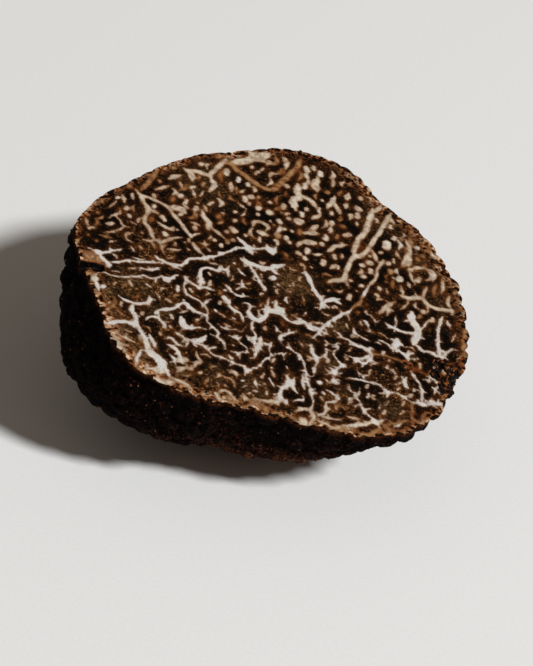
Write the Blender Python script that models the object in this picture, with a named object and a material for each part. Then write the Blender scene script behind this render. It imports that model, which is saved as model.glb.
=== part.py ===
"""Half of a black truffle, lying on its rounded side with the knife cut facing up.

The whole truffle is modelled in its own frame, where the plane of the cut is z = 0: a flattened, lobed
ball covered all over with pyramid-shaped warts. A knife then takes the upper part away, a fold and a
crumbled patch are sunk into the rim, and the underside is worn flat in the small spot it rests on.
Units are metres and +Z is up. The origin is the centre of the resting spot.
"""
import math

import bmesh
import bpy
import numpy as np
from mathutils import Matrix, Vector, noise

MM = 0.001

# The outline of the cut, halfway up the warts: its distance from the centre every 15 degrees,
# counterclockwise from +X.
OUTLINE = [radius * MM for radius in (
    25.5, 25.7, 26.0, 26.5, 26.3, 28.8, 28.5, 25.8, 24.5, 23.5, 23.2, 24.1,
    24.8, 23.3, 23.2, 24.2, 24.9, 23.6, 22.2, 23.0, 25.0, 26.7, 26.4, 25.6)]

# The body below the cut, and above it, where the knife takes it away.
DEPTH = 16.7 * MM
DOME_HEIGHT = 14.0 * MM
SQUARENESS = 2.27
POLE_SHIFT = -2.4 * MM

# Broad swellings and hollows of the underside: how much, then azimuth, dip and spread in degrees.
# The last one is what the half rests on.
LOBES = [(0.14, 204.0, 18.0, 32.0), (-0.16, 165.0, 18.0, 32.0), (-0.14, 336.0, 18.0, 32.0),
         (0.09, 80.0, 69.0, 32.0), (0.06, 130.0, 85.0, 22.0)]
LOBE_FADE = math.radians(18.0)

# Uneven growth: low bumps some millimetres across.
BUMP_SIZE = 8.0 * MM
BUMP_HEIGHT = 0.45 * MM

# Warts: one plate each, drawn in from its neighbours, raised, and peaked in the middle.
WART_SPACING = 1.90 * MM
WART_TRIES = 24000
WART_SEED = 7
GROOVE_HALF_WIDTH = 0.36 * MM
WART_RISE = 0.50 * MM
WART_PEAK = 0.20 * MM
WART_VARIATION = 0.35

# How the half lies: the cut leans to the right and towards the front.
LEAN_FRONT = math.radians(6.50)
LEAN_RIGHT = math.radians(8.40)
CUT_CENTRE = Vector((1.30, -1.90, 17.70)) * MM

# The resting spot: warts closer to it than this radius are worn away.
REST_RADIUS = 6.0 * MM

# A fold that runs in from the rim, and a crumbled patch of it.
FOLD_AZIMUTH = math.radians(194.0)
FOLD_INNER_RADIUS = 20.6 * MM
FOLD_LENGTH = 5.0 * MM
FOLD_HALF_WIDTH = 0.95 * MM
FOLD_DEPTH = 1.75 * MM
FOLD_NARROWING = 0.45
CRUMBLE_CENTRE = Vector((25.2, -7.6, 0.3)) * MM
CRUMBLE_RADII = (1.9 * MM, 3.1 * MM, 1.3 * MM)
CRUMBLE_ROUGHNESS = 0.22
CRUMBLE_SEED = 3


def outline_radius(azimuth):
    """Distance of the outline from the centre of the cut, as a smooth closed curve through OUTLINE."""
    radii = np.array(OUTLINE)
    place = np.mod(azimuth / (2.0 * math.pi), 1.0) * len(radii)
    index = np.floor(place).astype(int)
    t = place - index
    before, start, end, after = (radii[(index + k) % len(radii)] for k in (-1, 0, 1, 2))
    return 0.5 * (2.0 * start + (end - before) * t
                  + (2.0 * before - 5.0 * start + 4.0 * end - after) * t ** 2
                  + (3.0 * start - before - 3.0 * end + after) * t ** 3)


def smooth_step(value):
    """0 below 0, 1 above 1 and a smooth rise between."""
    t = np.clip(value, 0.0, 1.0)
    return t * t * (3.0 - 2.0 * t)


def body_points(directions):
    """Points of the truffle's smooth body for unit vectors, the lower ones below the cut."""
    azimuth = np.arctan2(directions[:, 1], directions[:, 0])
    dip = np.arcsin(np.clip(-directions[:, 2], -1.0, 1.0))
    across = np.cos(dip) ** (2.0 / SQUARENESS)
    along = np.abs(np.sin(dip)) ** (2.0 / SQUARENESS)
    radius = (outline_radius(azimuth) - 0.5 * WART_RISE) * across
    height = np.where(dip > 0.0, -DEPTH, DOME_HEIGHT) * along
    points = np.stack([radius * np.cos(azimuth) + POLE_SHIFT * along, radius * np.sin(azimuth), height], 1)

    towards = points / np.linalg.norm(points, axis=1, keepdims=True)
    swelling = np.zeros(len(points))
    for amount, *angles in LOBES:
        turn, drop, spread = np.radians(angles)
        level = math.cos(drop)
        centre = np.array([math.cos(turn) * level, math.sin(turn) * level, -math.sin(drop)])
        angle = np.arccos(np.clip(towards @ centre, -1.0, 1.0))
        swelling += amount * np.exp(-(angle / spread) ** 2)
    bumps = np.array([noise.noise(Vector(point) / BUMP_SIZE) for point in points]) * BUMP_HEIGHT
    scale = 1.0 + swelling * smooth_step(dip / LOBE_FADE)
    return points * scale[:, None] + towards * bumps[:, None]


def wart_directions():
    """Unit vectors towards the warts' centres, each at least WART_SPACING from the others on the body."""
    rng = np.random.default_rng(WART_SEED)
    tries = rng.normal(size=(WART_TRIES, 3))
    tries /= np.linalg.norm(tries, axis=1, keepdims=True)
    places = body_points(tries)
    kept = [0]
    for index in range(1, len(tries)):
        gaps = np.linalg.norm(places[kept] - places[index], axis=1)
        if gaps.min() > WART_SPACING:
            kept.append(index)
    return tries[kept]


def link(obj, collection):
    """Put a new object in a collection."""
    collection.objects.link(obj)
    return obj


def warty_ball(pose):
    """Mesh of the whole truffle: a plate with five to seven sides for each wart, raised and peaked."""
    rng = np.random.default_rng(WART_SEED)
    bm = bmesh.new()
    tips = [bm.verts.new(direction) for direction in wart_directions()]
    bmesh.ops.convex_hull(bm, input=tips)

    # Each triangle between three warts gets a centre; joining those centres outlines the plates.
    ribs = list(bm.edges)
    bmesh.ops.poke(bm, faces=list(bm.faces))
    bmesh.ops.rotate_edges(bm, edges=ribs, use_ccw=False)
    bmesh.ops.dissolve_verts(bm, verts=tips)
    corners = np.array([vert.co.normalized() for vert in bm.verts])
    for vert, point in zip(bm.verts, body_points(corners)):
        vert.co = point
    bmesh.ops.recalc_face_normals(bm, faces=list(bm.faces))

    for plate in list(bm.faces):
        centre = pose @ plate.calc_center_median()
        vary = 1.0 + WART_VARIATION * (2.0 * rng.random(3) - 1.0)
        if centre.xy.length < REST_RADIUS:
            continue
        bmesh.ops.inset_individual(bm, faces=[plate], thickness=GROOVE_HALF_WIDTH * vary[0],
                                   depth=WART_RISE * vary[1])
        bmesh.ops.poke(bm, faces=[plate], offset=WART_PEAK * vary[2])
    bmesh.ops.triangulate(bm, faces=list(bm.faces))

    mesh = bpy.data.meshes.new("truffle_half")
    bm.to_mesh(mesh)
    bm.free()
    return mesh


def cutter(name, mesh_maker, collection, parent=None):
    """A closed mesh that a Boolean takes away, drawn as wires and left out of the model."""
    bm = bmesh.new()
    mesh_maker(bm)
    mesh = bpy.data.meshes.new(name)
    bm.to_mesh(mesh)
    bm.free()
    obj = link(bpy.data.objects.new(name, mesh), collection)
    obj.parent = parent
    obj.hide_render = True
    obj.display_type = 'WIRE'
    return obj


def make_box(bm, low, high):
    """A box between two corners."""
    size = high - low
    matrix = Matrix.Translation((low + high) / 2.0) @ Matrix.Diagonal((*size, 1.0))
    bmesh.ops.create_cube(bm, size=1.0, matrix=matrix)


def make_fold(bm):
    """A rounded groove, deepest where it leaves the rim and narrower at its inner end."""
    turn = Matrix.Rotation(FOLD_AZIMUTH, 4, 'Z')
    run = Matrix.Translation((FOLD_INNER_RADIUS + FOLD_LENGTH / 2.0, 0.0, 0.0))
    lie_down = Matrix.Rotation(math.pi / 2.0, 4, 'Y')
    shape = Matrix.Diagonal((FOLD_DEPTH, FOLD_HALF_WIDTH, FOLD_LENGTH, 1.0))
    bmesh.ops.create_cone(bm, cap_ends=True, segments=8, radius1=FOLD_NARROWING, radius2=1.0, depth=1.0,
                          matrix=turn @ run @ lie_down @ shape)


def make_crumble(bm):
    """A small rough lump of air where the rim has crumbled away."""
    rng = np.random.default_rng(CRUMBLE_SEED)
    bmesh.ops.create_icosphere(bm, subdivisions=2, radius=1.0)
    for vert in bm.verts:
        vert.co *= 1.0 + CRUMBLE_ROUGHNESS * (2.0 * rng.random() - 1.0)
        vert.co = CRUMBLE_CENTRE + Vector([a * b for a, b in zip(vert.co, CRUMBLE_RADII)])


def cut(obj, tool):
    """Take a cutter's volume away from an object."""
    boolean = obj.modifiers.new("cut by " + tool.name, 'BOOLEAN')
    boolean.operation = 'DIFFERENCE'
    boolean.solver = 'EXACT'
    boolean.object = tool


def rind_material():
    """Brown-black, matt, slightly rough rind."""
    material = bpy.data.materials.new("truffle rind, black")
    material.use_nodes = True
    shader = material.node_tree.nodes["Principled BSDF"]
    shader.inputs["Base Color"].default_value = (0.018, 0.011, 0.007, 1.0)
    shader.inputs["Roughness"].default_value = 0.7
    shader.inputs["Metallic"].default_value = 0.0
    return material


def build():
    """Make the half truffle and its cutters."""
    for obj in list(bpy.data.objects):
        bpy.data.objects.remove(obj, do_unlink=True)
    parts = bpy.data.collections.new("black_truffle_half")
    cutters = bpy.data.collections.new("cutters")
    bpy.context.scene.collection.children.link(parts)
    bpy.context.scene.collection.children.link(cutters)

    seat = link(bpy.data.objects.new("seat", None), cutters)
    pose = (Matrix.Translation(CUT_CENTRE) @ Matrix.Rotation(LEAN_FRONT, 4, 'X')
            @ Matrix.Rotation(LEAN_RIGHT, 4, 'Y'))
    seat.matrix_world = pose

    truffle = link(bpy.data.objects.new("truffle_half", warty_ball(pose)), parts)
    truffle.parent = seat
    truffle.data.materials.append(rind_material())

    reach = 2.0 * max(OUTLINE)
    knife = cutter("knife", lambda bm: make_box(bm, Vector((-reach, -reach, 0.0)),
                                                Vector((reach, reach, reach))), cutters, seat)
    floor = cutter("floor", lambda bm: make_box(bm, Vector((-reach, -reach, -reach)),
                                                Vector((reach, reach, 0.0))), cutters)
    for tool in (knife, cutter("fold", make_fold, cutters, seat),
                 cutter("crumble", make_crumble, cutters, seat), floor):
        cut(truffle, tool)


build()
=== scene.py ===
"""Looks of the black truffle half: its warty rind, its marbled cut, and the studio it lies in.

The cut is drawn on its own plane, in millimetres, with the origin at its centre, +X to the right and +Y to
the back; POSE carries that plane to where the half lies. Everything else is in metres, with +Z up.
"""

import math

import bpy
import numpy as np
from mathutils import Matrix, Vector, noise


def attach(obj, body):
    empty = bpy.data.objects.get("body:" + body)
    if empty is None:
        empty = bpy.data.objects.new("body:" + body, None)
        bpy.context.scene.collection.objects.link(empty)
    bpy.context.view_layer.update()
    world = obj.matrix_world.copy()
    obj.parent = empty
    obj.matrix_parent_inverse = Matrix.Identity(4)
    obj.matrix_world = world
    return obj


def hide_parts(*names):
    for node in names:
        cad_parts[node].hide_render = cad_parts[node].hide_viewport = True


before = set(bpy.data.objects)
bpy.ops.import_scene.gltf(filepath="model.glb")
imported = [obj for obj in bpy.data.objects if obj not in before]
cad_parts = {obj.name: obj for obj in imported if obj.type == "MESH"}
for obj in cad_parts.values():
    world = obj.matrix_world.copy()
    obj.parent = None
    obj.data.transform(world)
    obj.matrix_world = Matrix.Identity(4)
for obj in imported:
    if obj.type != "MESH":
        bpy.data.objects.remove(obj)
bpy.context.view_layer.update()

MM = 0.001

# ---------------------------------------------------------------------------------------------------
# The form, with the same values as the solid
# ---------------------------------------------------------------------------------------------------
# The outline of the cut, halfway up the warts: its distance from the centre every 15 degrees,
# counterclockwise from +X.
OUTLINE = [radius * MM for radius in (
    25.5, 25.7, 26.0, 26.5, 26.3, 28.8, 28.5, 25.8, 24.5, 23.5, 23.2, 24.1,
    24.8, 23.3, 23.2, 24.2, 24.9, 23.6, 22.2, 23.0, 25.0, 26.7, 26.4, 25.6)]
DEPTH = 16.7 * MM
DOME_HEIGHT = 14.0 * MM
SQUARENESS = 2.27
POLE_SHIFT = -2.4 * MM
# Swellings and hollows: how much, then azimuth, dip and spread in degrees.
LOBES = [(0.14, 204.0, 18.0, 32.0), (-0.16, 165.0, 18.0, 32.0), (-0.14, 336.0, 18.0, 32.0),
         (0.09, 80.0, 69.0, 32.0), (0.06, 130.0, 85.0, 22.0)]
LOBE_FADE = math.radians(18.0)
BUMP_SIZE = 8.0 * MM
BUMP_HEIGHT = 0.45 * MM
WART_SPACING = 1.90 * MM
WART_TRIES = 24000
WART_SEED = 7
GROOVE_HALF_WIDTH = 0.36 * MM
WART_RISE = 0.50 * MM
WART_PEAK = 0.20 * MM
WART_VARIATION = 0.35
POSE = (Matrix.Translation(Vector((1.30, -1.90, 17.70)) * MM)
        @ Matrix.Rotation(math.radians(6.50), 4, 'X') @ Matrix.Rotation(math.radians(8.40), 4, 'Y'))
REST_RADIUS = 6.0 * MM
FOLD_AZIMUTH = math.radians(194.0)
FOLD_INNER_RADIUS = 20.6 * MM
FOLD_LENGTH = 5.0 * MM
FOLD_HALF_WIDTH = 0.95 * MM
FOLD_DEPTH = 1.75 * MM
FOLD_NARROWING = 0.45        # of its width and depth is left at its inner end
FOLD_LIP = 0.35 * MM         # it sinks in over this length there
CRUMBLE_CENTRE = Vector((25.2, -7.6, 0.3)) * MM
CRUMBLE_RADII = (1.9 * MM, 3.1 * MM, 1.3 * MM)

# ---------------------------------------------------------------------------------------------------
# Fine detail
# ---------------------------------------------------------------------------------------------------
# Both the cut and the rind below it are a disc of rings, ring k with 6k points.
RINGS = 126
RIM_FOLLOW = 28.0            # how closely only the outermost rings of the cut follow the warts at the rim
NOISE_SEED = 5               # for the smooth noise that moves points about
WART_WANDER = 0.16 * MM      # the grooves wander by this much
WANDER_SIZE = 0.9 * MM
DENTED_SHARE = 0.45          # this share of the warts has a sunken tip
WRINKLE_HEIGHT = 0.26 * MM   # fine wrinkles all over the rind
WRINKLE_SIZE = 0.75 * MM

# How strongly the rind's relief shows. It is worn off on the resting spot, and comes and goes in patches.
WORN_BELOW = 6.0 * MM
WORN_FADE = 1.2 * MM
PATCHY_RELIEF = (0.85, 0.6)  # on average, and how far it swings
PATCHY_LIMITS = (0.45, 1.1)
PATCHY_SIZE = 5.0 * MM
# It is calmer near the rim, by this share on average, and by this much more or less from side to side.
CALM_AVERAGE = 0.4125
CALM_SWING = 0.3375
CALM_DEPTH = 4.5             # millimetres of rind below the rim
ROUGHEST_AZIMUTH = math.radians(-20.0)
# This share of the wrinkles is left at the rim, and all of them this many millimetres of rind below it.
RUGGED_AT_RIM = 0.15
RUGGED_DEPTH = 1.8
RIND_LENGTH = 33.0           # millimetres of rind from the rim to the middle of the underside

# The blade leaves the cut slightly uneven: height and size of its swells, ripples and grain. They sink to
# RIM_RELIEF of their height over the last RIM_FADE of the way from the centre to the rim.
UNEVENNESS = [(0.16 * MM, 7.0 * MM), (0.05 * MM, 1.6 * MM), (0.035 * MM, 0.5 * MM)]
RIM_RELIEF = 0.25
RIM_FADE = 0.015
VEIN_RAISE = 0.035 * MM
VEIN_RAISE_EDGE = 0.15       # millimetres
SQUEEZE_REACH = 3.5          # a hollow squeezes the rind below it down to this many times its own depth

# Veins, in millimetres: how sharply two of them merge, how far their edges wander and over what size, and
# what share of their width comes and goes.
MERGE = 9.0                  # per millimetre
EDGE_WANDER = [(0.16, 1.3), (0.12, 0.55)]
CALM_BEHIND = 0.30           # this much less wandering behind the middle
WIDTH_WANDER = (0.32, 0.9)
TAPER_LENGTH = 0.8
END_SHARE = 0.5              # of the width is left at the end of a vein
VEIN_SLIMMING = 0.070        # drawn widths are to the outside of the brown edge, this much each side
VEIN_STEP = 0.12
FAR = 2.0                    # a vein isn't felt further away than this

# The middle of the cut ends this far behind its centre, and nearer at the sides, by this share of x.
MIDDLE_END = 5.0
MIDDLE_BEND = 0.25

# Short thorny spurs along the drawn veins: about one every so many millimetres, on either side.
SPUR_SEED = 33
SPUR_SPACING = 1.9
SPUR_WIDTH = 0.22
SPUR_REACH = (0.15, 0.55)    # beyond the vein's edge
SPUR_LEAN = 0.5              # forwards or backwards along the vein, for each step sideways

# Specks and short worm-like veins between the drawn ones. Each pair is its value in front, where they are
# fine and few, and behind, where they are broad and crowded.
SPECK_SEED = 21
SPECK_TRIES = 9000
SPECK_WIDTH = [(0.20, 0.36), (0.34, 0.76)]
SPECK_LENGTH = [(0.3, 1.3), (0.1, 1.9)]
SPECK_SPACING = (1.05, 0.80)
SPECK_CLEARANCE = (0.28, 0.15)
SPECK_SHARE = (0.45, 1.0)
SPECK_WILDNESS = (0.70, 0.30)
TAN_SHARE = (0.12, 0.33)     # of the specks, the rest are cream
# The rest is the same everywhere.
TAN_TONES = (0.45, 0.75)
CREAM_TONES = (0.12, 0.30)
SPECK_FIELD = 29.0           # tries are up to this far from the centre in x and in y
SPECK_FLOW = 5.0             # neighbours run alike over about this distance
SPECK_TURN = 0.7             # and differ by up to about this angle
SPECK_BEND = 0.3             # of the length
SPECK_ROOM = 0.45            # of the length is added to the spacing
SPECK_RIM_GAP = 1.3          # from the rim, and from the band inside the rim:
SPECK_BAND_GAP = 0.3
SPECK_SUNK = 0.1 * MM        # none where the cut is lowered more

# Veins of the cut, each point given in millimetres on the plane of the cut: full width, then the x
# and y of each point that the vein runs through. A vein with one point is a speck.
WHITE = [
    # across the middle
    (.45, -9, 1.2, -8, 2.1, -7, 2.9, -6.2, 3.8, -5.3, 4.7, -4.5, 5.6, -3.4, 6.1, -2.4, 6.4, -1.5, 6.9,
     -.9, 7.3, -.2, 7.2, .2, 7.9), (.8, -6.6, 3.6), (1, -3.4, 6.2), (1, -.3, 6.9),
    (.7, -4.8, 7.5, -3.9, 6.7, -3.2, 6, -2.6, 5.2), (.6, -1.1, 7.8, -.9, 7, -.2, 6.3),
    (.75, -3.8, 3.8, -2.6, 3.4, -1.2, 3.3, -.2, 3.6, .2, 4.2, .9, 4.5, 1.5, 5), (.8, -1, 3),
    (.6, .1, 3.8, .6, 3.1, 1.2, 2.9), (.45, -3, 3.3, -2.2, 2.3, -1.4, 1.2, -.8, 0, -.4, -.6),
    (.6, -.6, -.3, -.4, -.6), (1, .4, 1.9), (.3, .8, .4), (.65, 4.2, 5, 5, 3.4, 5.8, 1.9, 6.6, .7, 7, .1),
    (.8, 7, .2, 8, 1.2, 9, 1.8), (.6, 7, .1, 6.7, -1.4), (.6, 7, -.1, 7.8, -.4),
    (.4, -9, -3.6, -8.2, -3.9, -7.6, -3.4, -6.4, -3.5),
    (.5, -8.2, -3.6, -8.1, -2.2, -8.5, -.8, -8, .1, -7, .3, -6.3, .4, -6, .9, -5.4, 1, -5.1, 1.8),
    (.9, -8.1, -2.5), (.4, -6.3, .5, -6.3, 1.4), (.45, -5.2, 1.2, -5, -.3),
    (.45, -4, 1.8, -3.6, 1.2, -2.9, .9), (.5, -4.6, 2.5), (.4, -3.3, 0, -3.2, -.5, -3, -1.1, -2.5, -1.3),
    (.4, -3.1, -1.1, -3.8, -2.1),
    (.45, -5.2, -1.8, -4.7, -2.3, -4.2, -2.8, -3.4, -3.1, -2.7, -2.9, -2.9, -2.4), (.5, -5.2, -2.8),
    (.8, -5, -4.3, -4.7, -4.6),
    (.5, -5, -4.3, -4.5, -4.8, -4.2, -5.5, -3.5, -6.1, -2.8, -6.3, -2.4, -6.9, -2.2, -7.7),
    (.4, -2.7, -4.4, -2.3, -4, -1.7, -4.3, -1.8, -5.3, -1.3, -6.2, -.6, -6.6, .1, -6.2, .4, -5.3, .2, -4.5,
     .3, -3.2, .4, -1.9), (.8, .5, -4.6, 1.2, -4.1, 2.1, -4), (1.2, 2, -3.7), (.6, .6, -3.4, .6, -4.4),
    (.5, 1.4, -3.8, 1.4, -2.6, 1.3, -2), (.6, 2.2, -4, 2.5, -3.2),
    (.55, -1.7, -5.6, -1, -6.4, 0, -6, .5, -4.8, 1.1, -4.3, 2.2, -4.4, 3.4, -5.1, 4.4, -4.9, 5.2, -4.4,
     5.5, -4.9, 5.9, -5.4, 6.6, -5.2), (.4, 5.6, -5, 6.3, -4.9, 7.1, -4.9, 8, -3.6, 8.6, -2.3, 9.5, -1),
    (.4, 7.1, -5, 7, -6), (.35, 7.2, -5.1, 8.5, -5.4), (.4, 5.2, -2.5, 4.9, -3.3),
    (.5, 2.6, -.8, 2.3, -1.2, 2.7, -2), (.25, 3.2, -2.5), (.4, 2.7, 1.5),
    # towards the front
    (.35, -9, -6, -8.1, -6.1, -7.5, -6.6, -7, -7.2, -6.6, -7.9, -6.5, -8.8, -6.4, -9.6, -5.9, -10,
     -5.4, -10.5, -4.9, -11, -5, -11.8, -4.2, -12.2, -3.8, -12.8, -3.7, -13.4),
    (.5, -7.4, -6.7, -7, -5.7, -6.7, -5.4), (.4, -9, -7.6, -8.4, -8, -7.6, -8.4, -6.6, -8.4),
    (.35, -9, -11.2, -8, -11.3, -7.2, -11, -6.5, -11.1), (.4, -8.1, -10.9, -8.2, -11.8),
    (.4, -1.1, -6.8, -1.2, -7.8, -.9, -8.8, -.5, -9.5, -.5, -10.4, -.3, -11.3, 0, -12.2, -.1, -13.2,
     -.5, -13.7), (.4, -1.9, -5.6, -1.4, -6.2, -1.1, -6.6), (.4, .4, -5.5, 0, -6.3, -.7, -6.7, -1.1, -6.8),
    (.35, -1.4, -9.9, -1, -10.6, -.4, -10.9), (.6, .2, -9.4, .3, -10.4, .2, -11.5, .2, -12.2),
    (.7, .6, -10.4, 1.5, -10.4), (.4, 1.7, -9.7, 1.6, -10.2, 1.5, -11.2, 1.8, -11.8),
    (.3, 1.8, -11.9, 2.4, -11.6, 2.9, -11.3, 3.2, -11.3, 3.4, -12),
    (.35, 1.8, -12, 1.2, -13.2, .6, -14.4, 0, -15.5, -.5, -16.1, -.9, -16.9),
    (.35, -9, -13.1, -8.6, -13.6, -7.6, -13.7, -6.5, -13.9, -5.6, -14.5, -4.9, -15, -3.8, -15.1,
     -2.2, -15.5, -1.2, -15.4, -.6, -15.8, -.2, -15.8), (.8, -7.4, -13.5, -6.6, -12.9, -6.3, -12.1),
    (.5, -8.3, -13.8, -8.2, -14.9), (.55, -5.6, -14.4, -5.4, -14, -4.8, -13.6),
    (.3, -5.2, -9.3, -4.7, -9.8, -4, -9.9, -3.4, -9.8, -2.9, -9.4, -2.3, -9.6, -2, -9),
    (.35, -3.7, -10.9, -3, -11, -2.3, -10.9, -2.1, -10.5),
    (.3, -2.4, -11.1, -2, -11.7, -1.2, -12, -1.1, -12.8, -1.8, -13.2, -2.2, -13.6),
    (.5, -2.9, -13.5, -2.2, -13.6, -1.8, -14.3), (.4, -2.9, -12.3), (.4, -3.1, -14.4, -2.7, -14.8),
    (.6, -5.7, -7.1), (.35, -3.9, -8, -3.2, -7.6), (.4, 1.6, -6.8, 1.9, -7, 1.9, -7.7), (.35, 2.3, -14.2),
    (.3, 3.9, -13.2, 4, -13.6),
    (.45, 4.4, -6.3, 4.1, -6.9, 3.5, -7.3, 3, -7.8, 2.5, -8.3, 2.6, -9, 2.8, -9.5),
    (.3, 3.5, -6.6, 3.5, -7.2),
    (.35, 3.7, -9.1, 3.8, -9.7, 4.3, -10.2, 5, -10.6, 5.6, -11.3, 6, -12.3, 6.2, -13.3, 6.5, -14.4,
     6.9, -15.6, 7.3, -16.8, 7.6, -18, 7.6, -19.2, 7.5, -20), (.4, 3.5, -9.9, 3.9, -9.7),
    (.6, 5.1, -10.6, 5.2, -11.6), (.45, 5.9, -13.9, 6.1, -15, 6.4, -16.3),
    (.6, 6.5, -8.2, 6.6, -9.2, 6.9, -9.9, 7.3, -10.5, 7.4, -11.5), (.4, 7.4, -11.5, 7.3, -12.5, 7.2, -13.5),
    (.4, 7.4, -10.4, 7.9, -9.8, 8.3, -8.9, 8.3, -8.1), (.4, 7.3, -5.4, 6.8, -6.2, 6.4, -6.9, 6.1, -7.1),
    (.3, 6.4, -6.6, 7, -7.2),
    (.55, 3.8, -14.7, 4.3, -15.2, 4.4, -16.3, 3.9, -17, 3.7, -18, 3.8, -19, 3.4, -19.8, 2.8, -20),
    (.55, 5, -14.7, 4.9, -15.6, 5, -16.5, 5.6, -17.2), (.9, 4.7, -15.9),
    (.4, 3.8, -18.9, 4.5, -19.3, 4.9, -19.8), (.45, 6.4, -17.6, 6.5, -18.3, 5.9, -18.4, 5.4, -18.9),
    (.4, 2.1, -16.1, 2.5, -16.8, 2.9, -17.5), (.4, 1.7, -17.4), (.35, .5, -16.9, .6, -18, 1, -18.5),
    (.4, -.9, -18), (.35, -.4, -18.6, -1, -19.2),
    # front left
    (.55, -13.9, -7.9, -13.7, -8.8, -14.1, -9.4, -15, -9.8, -16.4, -9.9, -17.5, -9.5),
    (.6, -15.5, -10, -15.6, -11.3, -15, -12.2, -14.7, -13.2, -14.8, -14),
    (.7, -14.6, -13.7, -15.6, -13.7, -16.6, -13.8, -17.3, -14.4, -18, -14.8),
    (.75, -14.4, -14, -13.8, -15, -13, -16, -12.8, -17.1, -12.8, -17.6),
    (1.2, -12.8, -17.7, -11.8, -18, -11, -18.6, -10.5, -19.5, -10.5, -20.3),
    (.6, -13.4, -17.8, -13.7, -19, -13.4, -20.1), (.5, -11.5, -20, -12.2, -20.4),
    (.5, -10, -20, -9.5, -20.5),
    (.5, -12.5, -10.4, -12, -9.7, -11, -9, -10.5, -8.3, -10, -7.7, -9.3, -7.5, -8.8, -7.9, -8.3, -8.4),
    (.8, -12.5, -10.5), (.45, -13.7, -12.3, -13.3, -11.5, -12.3, -11.3, -11.6, -12, -11.1, -12.9),
    (1, -9.6, -10, -9.3, -11, -8.9, -11.4, -8.2, -11.4), (.4, -10.7, -12.1, -10.5, -12.4),
    (.4, -9.9, -13, -9.2, -13.3, -8.6, -13.7), (.5, -11, -14.7, -10.3, -14.2, -9.6, -14.7, -8.6, -14.9),
    (.6, -12.8, -14.8, -12.2, -15.8, -11.7, -16.6),
    (.6, -10.5, -15.5, -9.6, -15.7, -8.9, -16.4, -8.5, -17.2, -8.3, -17.8),
    (.5, -10, -17, -9.5, -17.5, -9.2, -18.4),
    # front right
    (.3, 8.5, -7, 9.2, -6.9, 9.6, -6.5, 10, -6.4),
    (.35, 9.4, -6.9, 9.7, -7.4, 9.4, -8.2, 9.5, -9, 10.1, -9.8, 10.4, -10.2, 10, -11.1, 9.6, -11.9,
     9.1, -12.3, 8.6, -12.7), (.3, 10.4, -10.1, 10.8, -9.8), (.3, 10.4, -10.2, 11, -10.3), (.6, 9.6, -12),
    (.3, 9.8, -12, 10.6, -11.5), (.35, 9.7, -12.1, 9.7, -13.2, 9.4, -14.1),
    (.3, 9.7, -13.8, 10.3, -13.7, 10.6, -13.2),
    (.35, 11, -6.1, 11.4, -5.8, 12.6, -5.9, 13.4, -6.2, 14, -6.7), (.35, 13.6, -5.6, 13.5, -6.3),
    (.4, 13.7, -6.6, 13.3, -7.4, 12.6, -8, 12, -8.3, 11.3, -8.2, 10.7, -8.1),
    (.4, 13.9, -6.8, 13.7, -7.8, 13.4, -8.5, 12.8, -8.7, 12, -8.5, 11.8, -9.3),
    (.3, 12.9, -8.7, 12.9, -9.3),
    (.4, 18.9, -7.8, 19.5, -8.6, 20.2, -9.5, 20.5, -10.5, 20.5, -11.5, 20.6, -12.6),
    (.4, 15.3, -6.3, 15.4, -5.6),
    (.38, 11.2, -12.3, 11.8, -11.9, 13.2, -11.8, 14.5, -11.6, 15.3, -11.7, 15.9, -12.3, 16.5, -12.5,
     17.4, -12.2, 18.2, -12.4, 18.8, -12.8, 19.6, -13.1, 20.5, -13, 21.2, -12.6, 21.9, -12.1, 22.8, -11.9,
     23.4, -11.7), (.6, 16.4, -12.6), (.35, 16.4, -12.6, 16.3, -13.6),
    (.4, 16, -12.4, 15.8, -13, 15.4, -13.1), (.8, 20.6, -12.9), (.3, 21.5, -12.4, 21.6, -11.4),
    (.3, 13.3, -11.7, 13.2, -11, 12.6, -10.6, 12.3, -10.2), (.25, 13.3, -11, 13.9, -10.6),
    (.25, 15.7, -8.2, 16.3, -8.5, 17, -8.8, 17.2, -8.5), (.55, 18.5, -9, 18.3, -9.8, 18.5, -10.6),
    (.35, 18.3, -10, 17.7, -10.4, 17.1, -10.8), (.5, 18.4, -10.1, 18.8, -10.9),
    (.3, 17.9, -9.1, 18.2, -9.6), (.35, 16.2, -10.3),
    (.35, 11.5, -13.3, 11.7, -14.1, 12.3, -14.5, 12.7, -15.1, 13.3, -15.9, 13.5, -16.6, 14, -17.2,
     14.7, -17.9, 15.4, -18.1, 16.1, -17.9, 16.6, -17.4), (.35, 13, -13.3, 13, -14.1, 12.7, -14.9),
    (.45, 12.6, -15.2, 11.9, -15.6, 11.7, -16), (.35, 13.2, -16.2, 12.7, -16.7),
    (.4, 13.8, -16.9, 14.4, -16.4), (.9, 15.2, -18.3),
    (.4, 15.1, -18.4, 14.2, -19.3, 13, -19.8, 12.2, -20.4, 12.4, -21.2), (.3, 15.5, -18.4, 15.9, -19),
    (.4, 9, -15.2, 9.9, -15.6, 10.5, -16.2, 10.4, -16.8, 9.7, -17.2, 9.2, -17.6, 9.3, -18.6, 9.1, -19.5,
     8.6, -20), (.3, 10.4, -15.1, 10.5, -16), (.6, 8.8, -16), (.35, 15.7, -15.2, 15.6, -16.2),
    (.35, 14.2, -13.9, 14, -14.5), (.8, 8, -14.5), (.5, 17.7, -18.2, 18.4, -17.3),
    # right
    (.5, 12.4, 5.8, 12.1, 4.6, 11.8, 3.4), (.5, 10.7, .5, 10.3, -.2, 9.5, -1, 8.6, -2.3),
    (.35, 10.4, -.3, 10.5, -1.6), (1, 8.3, 1.2, 9.1, 1),
    (1, 18.2, 3.2, 18.3, 2, 18.8, 1.1, 19.2, .3, 19.3, -.8, 19.2, -2.2), (.6, 17.4, 1.1, 18.2, 1.6),
    (.4, 20.3, 2.4, 20, 1.3, 19.6, .6),
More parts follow.
